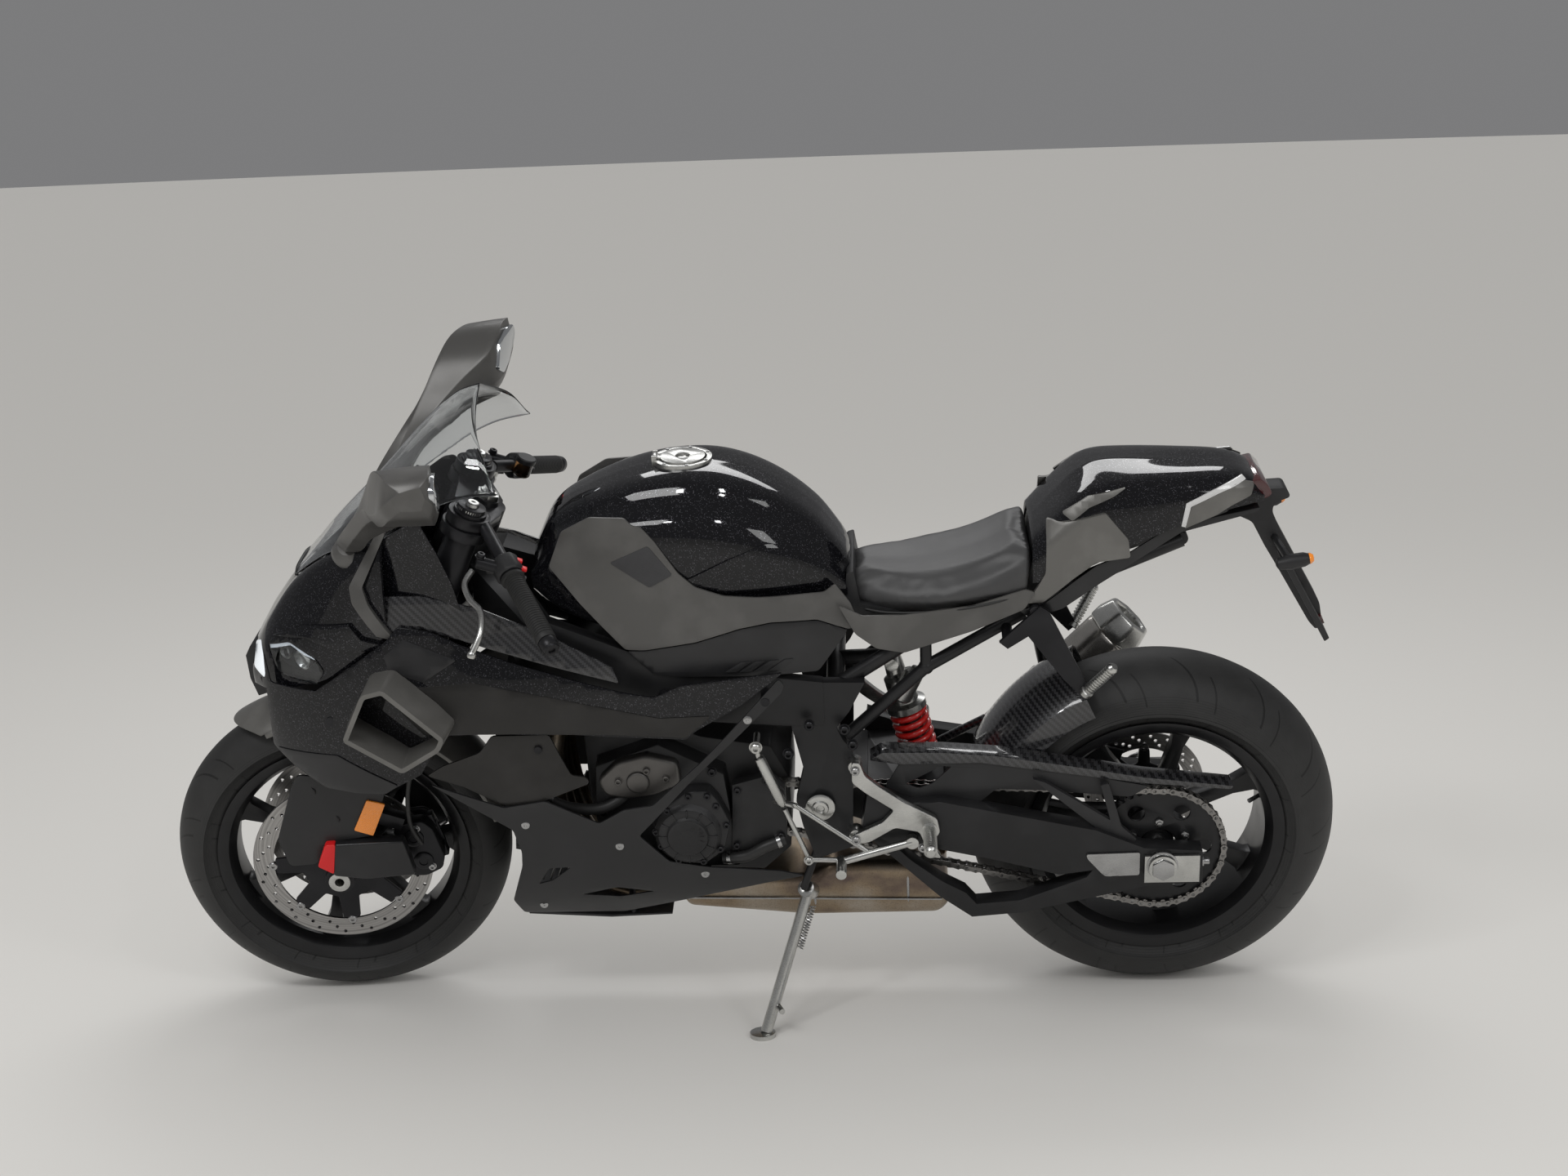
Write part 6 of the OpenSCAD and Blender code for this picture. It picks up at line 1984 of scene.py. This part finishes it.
@dataclass
class EngineDress:
    """Covers, screws, hoses and pipes on and under the engine."""

    crank: Point2 = (-84.0, 403.0)
    can_start: Point3 = (420.0, 214.0, 318.0)
    can_end: Point3 = (712.0, 222.0, 612.0)
    casting: Outline = (
        (-236, 501), (-202, 535), (-151, 548), (-96, 533), (-92, 490), (-137, 470), (-188, 464), (-225, 472))
    flange: Outline = (
        (-146, 408), (-122, 454), (-80, 484), (-44, 484), (-28, 462), (-10, 420), (-24, 369), (-58, 342), (-106, 346),
        (-138, 378))
    routes: tuple[tuple[Point3, ...], ...] = (
        ((-28, -150, 336), (12, -158, 344), (46, -158, 362), (80, -150, 372)), ((-330, -150, 462), (-286, -160, 448),
        (-232, -160, 446), (-196, -150, 462), (-180, -140, 486)), ((-356, 150, 500), (-310, 160, 470),
        (-250, 158, 452), (-206, 150, 470)), ((-370, -120, 660), (-330, -128, 640), (-290, -120, 640),
        (-262, -100, 650)))

    def left(self) -> None:
        """Generator cover with its ribs, and the countershaft cover's screws."""
        form = Form.outline(self.flange, 8.0).extrude(-178.0, -146.0).ease(3.0, 3)
        x, z = self.crank
        form.join(Form.turned(((0, 0), (0, 58), (6, 58), (10, 54), (15, 50), (17, 46), (17, 37), (21, 34), (22, 30),
                               (22, 14), (19, 12), (19, 0)), (x, -172, z), (x, -200, z), 72))
        for k in range(12):
            a = math.tau * k / 12
            rib = Form.box((16, 5, 2.6), (43, -188, 0)).ease(0.8)
            form.join(rib.turn(Matrix.Translation((x, 0, z)) @ Matrix.Rotation(a, 4, "Y")))
        form.piece("generator_cover", Finishes.ENGINE)
        inner = [(x + (px - x) * 0.90, z + (pz - z) * 0.90) for px, pz in self.flange]
        screws = Form.bolts(inner, -178, 5.5)
        screws.join(Form.bolts(((-4, 362), (52, 356), (74, 380), (74, 464), (52, 488), (2, 470)), -150, 6.0),
                    Form.bolts(((-196, 330), (-206, 500), (-150, 540), (-40, 506), (-16, 330), (-232, 430)),
                               -146, 7.0),
                    Form.bolts(((203, 566), (94, 551), (131, 605), (190, 595)), -171, 8.0))
        screws.piece("engine_screws", Finishes.ANODISED)
        casting = Form.outline(self.casting, 10.0).extrude(-164.0, -140.0).ease(6.0, 4)
        casting.join(Form.bolts(((-200, 500), (-150, 520), (-118, 504)), -164, 6.0),
                     Form.rod((-166, -170, 498), (-166, -150, 498), 20.0, 32).ease(4.0, 3))
        casting.piece("pump_casting", Finishes.ENGINE_GREY)
        cap = Form.turned(((0, 0), (0, 25), (3, 25), (5, 22), (5, 15), (8, 13), (9, 8), (6, 6), (6, 0)),
                          (144, -160, 440), (144, -180, 440), 40)
        cap.both().piece("pivot_caps", Finishes.BRIGHT)

    def right(self) -> None:
        """Screws and a ribbed cap on the clutch and crank covers."""
        screws = Form.bolts(ringed((-4, 408), 9, (0.0, 69.0)), 164, 5.5)
        screws.join(Form.bolts(ringed((-150, 400), 6, (0.0, 47.0)), 170, 5.5))
        screws.piece("clutch_cover_screws", Finishes.ANODISED)
        cap = Form.turned(((0, 0), (0, 54), (4, 52), (6, 40), (9, 38), (9, 22), (6, 20), (6, 0)), (-4, 177, 408),
                          (-4, 200, 408), 64)
        for k in range(9):
            rib = Form.box((22, 4, 3), (30, 185, 0)).ease(0.8)
            cap.join(rib.turn(Matrix.Translation((-4, 0, 408)) @ Matrix.Rotation(math.tau * k / 9, 4, "Y")))
        cap.join(Form.turned(((0, 0), (0, 40), (4, 38), (6, 20), (6, 0)), (-150, 169, 400), (-150, 190, 400), 48))
        cap.piece("clutch_cap", Finishes.ENGINE)

    def hoses(self) -> None:
        """Coolant hoses with their clips."""
        hose, clips = Form(), Form()
        for route in self.routes:
            hose.join(Form.tube(route, 10.0, 18))
            for a, b in ((route[0], route[1]), (route[-1], route[-2])):
                way = (Vector(b) - Vector(a)).normalized()
                start = Vector(a) + way * 8
                clips.join(Form.turned(((0, 10), (0, 11.4), (7, 11.4), (7, 10), (0, 10)), start, start + way * 9, 24))
        hose.piece("coolant_hoses", Finishes.HOSE)
        clips.piece("hose_clips", Finishes.STEEL)

    def exhaust(self) -> None:
        """Rounded collector box, weld beads, silencer can, end cap, strap, and a near-black disc in the outlet as
        painted shade.
        """
        box = Form.of_node("collector").ease(26.0, 6)
        box.piece("collector_box", Finishes.HOT, "collector")
        seams = Form()
        for x, low, high in ((-100, 200, 252), (126, 178, 256), (292, 178, 276)):
            ring = [(x, -84, low + 14), (x, -88, (low + high) / 2), (x, -82, high - 12), (x, -60, high),
                    (x, 0, high + 1)]
            seams.join(Form.tube(ring, 2.6, 8, 6))
        seams.join(Form.outline(((-104, 218), (352, 206), (352, 209), (-104, 221))).extrude(-92.0, 102.0).ease(0.8))
        seams.piece("collector_seams", Finishes.STEEL)
        start, end = Vector(self.can_start), Vector(self.can_end)
        length = (end - start).length
        way = (end - start).normalized()
        can = Form.turned(((0, 0), (0, 30), (40, 40), (74, 54), (length - 46, 54), (length - 46, 0)), start, end, 8)
        can.ease(12.0, 4, 30.0).piece("silencer_can", Finishes.SILENCER, "silencer")
        cap = Form.turned(((length - 50, 30), (length - 50, 56), (length - 30, 56), (length, 46), (length, 33),
                           (length - 60, 33)), start, end, 8).ease(6.0, 4, 30.0)
        cap.piece("silencer_end", Finishes.BRIGHT)
        # A near-black disc inside the outlet: painted shade in the pipe.
        tube = Form.turned(((0, 34), (0, 0)), start + way * (length - 58), end, 32).thick(2.0, tuple(way))
        tube.piece("silencer_mouth", Finishes.OUTLET_SHADE)
        strap = Form.turned(((0, 53), (0, 58), (22, 58), (22, 53), (0, 53)), start + way * 190, end, 8)
        strap.ease(5.0, 3, 30.0).join(Form.rod((556, 180, 500), (500, 88, 786), 8.0, 24).ease(1.5))
        strap.piece("silencer_strap", Finishes.ANODISED)

    def build(self) -> None:
        """Builds the dressing."""
        self.left()
        self.right()
        self.hoses()
        self.exhaust()


@dataclass
class FrontEnd:
    """Fork covers, ducts, calipers, hoses and caps on the fork."""

    axle: Point2 = (-727.65, 299.0)
    cover: Outline = (
        (-771, 525), (-700, 512), (-626, 478), (-659, 392), (-720, 386), (-748, 378), (-760, 342), (-808, 341),
        (-822, 398), (-786, 498))
    duct: Outline = ((-726, 387), (-604, 384), (-590, 312), (-679, 311), (-734, 322))
    tip: Outline = ((-758, 345), (-740, 388), (-722, 388), (-732, 327))
    reflector: Outline = ((-659, 467), (-628, 456), (-656, 394), (-688, 408))
    caliper_turn: float = -14.4
    guard_half: float = 68.0
    guard_start: float = 104.0
    guard_end: float = 121.0
    guard_bow: float = 9.0
    guard_inner: float = 224.0
    guard_arch: float = 96.0
    caliper: Outline = ((116, -50), (116, 50), (140, 58), (172, 52), (184, 30), (184, -30), (172, -52), (140, -58))

    def lip(self) -> Form:
        """The mudguard's rounded front end, lapped over its arch.

        Returns:
            The form.
        """
        def surface(u: float, v: float) -> Point3:
            """The point at two shares of the lip."""
            y = (v - 0.5) * 2 * self.guard_half
            radius = self.guard_inner + math.sqrt(self.guard_arch ** 2 - y * y)
            reach = self.guard_end - self.guard_start - self.guard_bow * (y / self.guard_half) ** 2
            ahead = math.radians(self.guard_start + reach * u)
            return (self.axle[0] + radius * math.cos(ahead), y, self.axle[1] + radius * math.sin(ahead))

        return Form.grid(18, 28, surface).thick(4.0, (-0.4, 0.0, 0.9)).ease(1.4)

    def covers(self) -> None:
        """Mudguard, and on each leg a cover with a duct, its red tip and a reflector."""
        guard = Form.of_node("front_fender")
        guard.turn(STANCE.steering.inverted() @ STANCE.bike)
        outer = [v for v in guard.bm.verts if abs(v.co.y) > 96]
        bmesh.ops.delete(guard.bm, geom=outer, context="VERTS")
        guard.ease(1.2).join(self.lip())
        guard.piece("front_mudguard", Finishes.SATIN, "front_fender", body=Body.STEERING)
        plate = Form.outline(self.cover, 8.0).slices(20.0).extrude(-136.0, -131.0).ease(1.6)
        for x, z in ((-718, 430), (-752, 490)):
            plate.join(Form.rod((x, -133, z), (x + 20, -108, z + 6), 9.0, 20))
        plate.both().piece("fork_covers", Finishes.MATTE, body=Body.STEERING)
        duct = Form.outline(self.duct, 6.0).extrude(-150.0, -124.0).ease(4.0, 3)
        duct.both().piece("brake_ducts", Finishes.PANEL, body=Body.STEERING)
        tip = Form.outline(self.tip, 4.0).extrude(-151.0, -126.0).ease(3.0, 3)
        tip.both().piece("duct_tips", Finishes.RED, body=Body.STEERING)
        reflector = Form.outline(self.reflector, 3.0).extrude(-141.0, -136.0).ease(1.2)
        reflector.both().piece("fork_reflectors", Finishes.AMBER, body=Body.STEERING)

    def calipers(self) -> None:
        """Radial calipers that straddle the discs."""
        form = Form.outline(self.caliper, 6.0).extrude(-102.0, -74.0).ease(3.0, 3)
        form.join(Form.outline(self.caliper, 6.0).extrude(-56.0, -47.0).ease(2.0))
        for t in (-34, 34):
            form.join(Form.box((18, 20, 22), (176, -65, t)).ease(2.0))
        for t in (-25, 25):
            form.join(Form.turned(((0, 0), (0, 18), (4, 17), (6, 14), (6, 8), (4, 7), (4, 0)), (146, -101, t),
                                  (146, -112, t), 32))
        turn = Matrix.Rotation(math.radians(self.caliper_turn), 4, "Y")
        place = Matrix.Translation((self.axle[0], 0, self.axle[1])) @ turn
        form.turn(place).both().piece("brake_calipers", Finishes.ANODISED, "front_calipers", body=Body.STEERING)
        screws = Form.bolts(((156, -41.28), (156, 41.28)), -102, 6.0)
        screws.turn(place).both().piece("caliper_screws", Finishes.STEEL, body=Body.STEERING)

    def tops(self) -> None:
        """Fork caps, stem nut and lower hoses."""
        place = STANCE.fork()
        caps = Form.turned(((0, 0), (0, 24), (5, 24), (7, 22), (7, 12), (13, 11), (15, 9), (15, 4), (11, 3), (11, 0)),
                           (-28, -107, 130), (-28, -107, 150), 36)
        caps = caps.both().join(Form.rod((0, 0, 113), (0, 0, 124), 21.0, 6).ease(1.5),
                                Form.turned(((0, 0), (0, 15), (4, 14), (5, 10), (2, 9), (2, 0)), (0, 0, 123),
                                            (0, 0, 140), 32))
        caps.turn(place).piece("fork_caps", Finishes.BRIGHT, body=Body.STEERING)
        hose = Form.tube([(-10, -90, -92), (16, -112, -150), (30, -128, -260), (26, -130, -380), (52, -124, -470),
                          (88, -104, -520)], 4.2, 12, 8)
        hose.turn(place).both().piece("brake_hoses", Finishes.HOSE, body=Body.STEERING)

    def build(self) -> None:
        """Builds the front end."""
        self.covers()
        self.calipers()
        self.tops()


@dataclass
class Controls:
    """Grips, bar ends, switches, levers, fluid cup and display."""

    reach: float = 366.0
    leg: float = 107.0
    cup: Point3 = (58.0, 172.0, 98.0)
    display: Point3 = (-546.0, 0.0, 958.0)
    display_lean: float = 52.0
    blade: tuple[Point3, ...] = (
        (-424, -214, 930), (-436, -236, 918), (-428, -262, 902), (-410, -296, 896), (-410, -328, 876),
        (-426, -348, 848))

    def bar(self, share: float, off: Point3 = (0.0, 0.0, 0.0)) -> Point3:
        """A point along the left bar in the steering head's axes, moved by an offset."""
        return (-6 + 142 * share + off[0], -(self.leg + 8 + (self.reach - self.leg - 12) * share) - off[1],
                119 - 57 * share + off[2])

    def grips(self) -> Form:
        """A ribbed grip on the left.

        Returns:
            The form.
        """
        start, end = self.bar(0.47), self.bar(0.97)
        length = (Vector(end) - Vector(start)).length
        profile = [(0.0, 11.5), (0.0, 20.0), (5.0, 20.0), (6.5, 16.5)]
        place = 9.0
        while place < length - 8:
            profile += [(place, 16.5), (place + 0.8, 15.3), (place + 2.0, 15.3), (place + 2.8, 16.5)]
            place += 5.0
        profile += [(length - 3, 16.6), (length, 15.0), (length, 11.5), (0.0, 11.5)]
        return Form.turned(profile, start, end, 40)

    def build(self) -> None:
        """Builds the controls."""
        place = STANCE.fork()
        self.grips().both().turn(place).piece("ribbed_grips", Finishes.GRIP, "grips", body=Body.STEERING)
        ends = Form.turned(((0, 0), (0, 15), (3, 16), (14, 15), (19, 12), (20, 6), (17, 5), (17, 0)), self.bar(0.975),
                           self.bar(1.1), 36)
        ends.both().turn(place).piece("bar_ends", Finishes.ANODISED, body=Body.STEERING)
        pods = Form.rod(self.bar(0.335), self.bar(0.46), 25.0, 8).ease(5.0, 3)
        pods.join(Form.turned(((0, 0), (0, 8), (10, 7), (12, 0)), self.bar(0.36, (-16, 0, -14)),
                              self.bar(0.36, (-40, 0, -24)), 20))
        pods.both().turn(place).piece("switch_pods", Finishes.MATTE, body=Body.STEERING)
        red, pale = Form(), Form()
        for share, off in ((0.37, (17, 0, 16)), (0.425, (19, 0, 14))):
            red.join(Form.box((12, 11, 6), self.bar(share, off)).ease(1.6))
        for share, off in ((0.36, (23, 0, 2)), (0.40, (24, 0, 1)), (0.44, (23, 0, 0))):
            pale.join(Form.box((7, 9, 8), self.bar(share, off)).ease(1.5))
        red.both().turn(place).piece("red_switches", Finishes.RED, body=Body.STEERING)
        pale.both().turn(place).piece("dark_switches", Finishes.COARSE, body=Body.STEERING)
        lever = Form.tube(self.blade, 5.2, 14, 8)
        lever.join(Form.turned(((0, 0), (1, 6), (4, 7.5), (8, 7.5), (11, 6), (12, 0)), (-424, -346, 852),
                               (-430, -352, 836), 20))
        lever.both().piece("lever_blades", Finishes.BRIGHT, "levers", body=Body.STEERING)
        perch = Form.rod(self.bar(0.41, (-12, 0, 0)), self.bar(0.41, (-54, 0, -2)), 11.0, 8).ease(3.0, 3)
        perch.join(Form.bolt(self.bar(0.41, (-50, 0, 9)), (0, 0, 1), 7.0))
        perch.both().turn(place).piece("lever_perches", Finishes.ANODISED, body=Body.STEERING)
        x, y, z = self.cup
        cup = Form.turned(((0, 0), (0, 13), (3, 15.5), (27, 16), (27, 0)), (x, y, z), (x, y, z + 36), 40)
        cup.turn(place).piece("fluid_cup", Finishes.FLUID, "brake_reservoir", body=Body.STEERING)
        lid = Form.turned(((0, 0), (0, 17), (3, 18), (8, 18), (10, 16), (10, 0)), (x, y, z + 27), (x, y, z + 42), 40)
        lid.join(Form.tube([(x, y, z), (x - 6, y + 12, z - 8), (x - 8, y + 28, z - 2)], 5.0, 14))
        lid.turn(place).piece("fluid_lid", Finishes.MATTE, body=Body.STEERING)
        face = Form.box((132, 84, 16), (0, 0, 0)).ease(5.0, 3)
        lean = Matrix.Rotation(math.radians(self.display_lean), 4, "Y")
        tilt = Matrix.Translation(self.display) @ lean @ Matrix.Rotation(math.radians(90), 4, "Z")
        face.turn(tilt).piece("display_case", Finishes.MATTE)
        glass = Form.box((118, 70, 3), (0, 0, 9)).ease(1.0)
        glass.turn(tilt).piece("display_glass", Finishes.DISPLAY)


@dataclass
class StandSpring:
    """Return spring beside the side stand's leg."""

    hinge: Point3 = (117.0, -138.0, 262.0)
    foot: Point3 = (39.0, -282.0, 66.0)
    turns: int = 16

    def build(self) -> None:
        """Builds the spring."""
        a, b = Vector(self.hinge), Vector(self.foot)
        run = b - a
        side = run.normalized().cross(Vector((0, 1, 0))).normalized()
        out = side * 16
        path = helix(a + run * 0.10 + out, a + run * 0.40 + out, side, 4.6, self.turns, 8)
        Form.tube(path, 1.2, 6, 1).piece("stand_spring", Finishes.STEEL, body=Body.STAND)


# Stage


@dataclass
class Studio:
    """Floor, soft lights and the camera."""

    eye: Point3 = (0.2543, -3.5941, 1.5854)
    yaw: float = -2.747
    pitch: float = 12.573
    roll: float = -1.988
    lens: float = 50.124
    sensor: float = 36.0
    sky: float = 0.74
    backdrop: Colour = (0.20, 0.20, 0.203)

    def camera(self) -> None:
        """Sets the camera to the photograph's viewpoint."""
        yaw, pitch, roll = (math.radians(a) for a in (self.yaw, self.pitch, self.roll))
        ahead = Vector((math.sin(yaw) * math.cos(pitch), math.cos(yaw) * math.cos(pitch), -math.sin(pitch)))
        right = ahead.cross(Vector((0, 0, 1))).normalized()
        up = right.cross(ahead)
        rolled = right * math.cos(roll) + up * math.sin(roll)
        upright = up * math.cos(roll) - right * math.sin(roll)
        data = bpy.data.cameras.new("camera")
        data.lens, data.sensor_width, data.sensor_fit = self.lens, self.sensor, "HORIZONTAL"
        camera = bpy.data.objects.new("camera", data)
        turn = Matrix((rolled, upright, -ahead)).transposed().to_4x4()
        camera.matrix_world = Matrix.Translation(self.eye) @ turn
        bpy.context.scene.collection.objects.link(camera)
        bpy.context.scene.camera = camera

    def softbox(self, name: str, place: Point3, aim: Point3, size: Point2, power: float) -> None:
        """Hangs one soft light.

        Args:
            name: its name.
            place: where it hangs.
            aim: the point it faces.
            size: its width and depth.
            power: its power in watts.
        """
        data = bpy.data.lights.new(name, "AREA")
        data.shape, data.size, data.size_y, data.energy = "RECTANGLE", size[0], size[1], power
        light = bpy.data.objects.new(name, data)
        facing = (Vector(aim) - Vector(place)).to_track_quat("-Z", "Y")
        light.matrix_world = Matrix.Translation(place) @ facing.to_matrix().to_4x4()
        bpy.context.scene.collection.objects.link(light)

    def floor(self) -> None:
        """Lays the floor."""
        bm = bmesh.new()
        bmesh.ops.create_circle(bm, cap_ends=True, segments=96, radius=60.0)
        mesh = bpy.data.meshes.new("floor")
        bm.to_mesh(mesh)
        bm.free()
        floor = bpy.data.objects.new("floor", mesh)
        mesh.materials.append(Finishes.FLOOR.material())
        bpy.context.scene.collection.objects.link(floor)

    def light(self) -> None:
        """Lights the scene: a soft sky that is plain to the camera, three soft boxes and three small ones."""
        world = bpy.data.worlds.new("studio")
        shader = Shader(world)
        sky = shader.make("ShaderNodeBackground", {}, {"Color": (1.0, 0.99, 0.97), "Strength": self.sky})
        wall = shader.make("ShaderNodeBackground", {}, {"Color": self.backdrop})
        seen = shader.make("ShaderNodeLightPath", output="Is Camera Ray")
        rays = seen.socket.node.outputs
        for name in ("Is Glossy Ray", "Is Transmission Ray"):
            seen = seen.most(Sock(shader, rays[name]))
        shader.end("ShaderNodeOutputWorld", shader.make("ShaderNodeMixShader", {}, {0: seen, 1: sky, 2: wall}))
        bpy.context.scene.world = world
        self.softbox("key", (-1.4, -2.4, 3.4), (0.0, 0.0, 0.5), (1.6, 0.7), 32.0)
        self.softbox("fill", (2.4, -2.6, 2.6), (0.2, 0.0, 0.5), (0.7, 1.2), 14.0)
        self.softbox("rim", (0.2, 2.4, 3.0), (0.0, 0.0, 0.7), (2.6, 0.5), 20.0)
        for k, place in enumerate(((-1.7, -1.9, 2.5), (-0.5, -2.3, 2.9), (0.7, -2.0, 2.7))):
            self.softbox(f"small_{k + 1}", place, (-0.2, 0.0, 0.7), (0.16, 0.16), 4.0)

    def build(self) -> None:
        """Builds the stage."""
        bpy.context.scene.view_settings.view_transform = "Standard"
        self.camera()
        self.floor()
        self.light()


def main() -> None:
    """Builds the bike and its stage in order."""
    logging.basicConfig(level=logging.INFO, format="%(name)s %(message)s")
    for group in CARRIED:
        group.build()
    front = Wheel("front", Body.FRONT_WHEEL, (-727.65, 299.0), 299.0, 120.0, 50.4, (-65.0, 65.0), 160.0, 36.0, 13)
    rear = Wheel("rear", Body.REAR_WHEEL, (728.17, 322.0), 322.0, 190.0, 83.6, (104.0,), 110.0, 32.0, 14)
    for assembly in (Nose(), SideBodywork(), Tank(), Tail(), Seat(), Mirrors(), front, rear, FinalDrive(),
                     RearSuspension(), Rests(), EngineDress(), FrontEnd(), Controls(), StandSpring()):
        assembly.build()
    Studio().build()


if __name__ == "__main__":
    main()
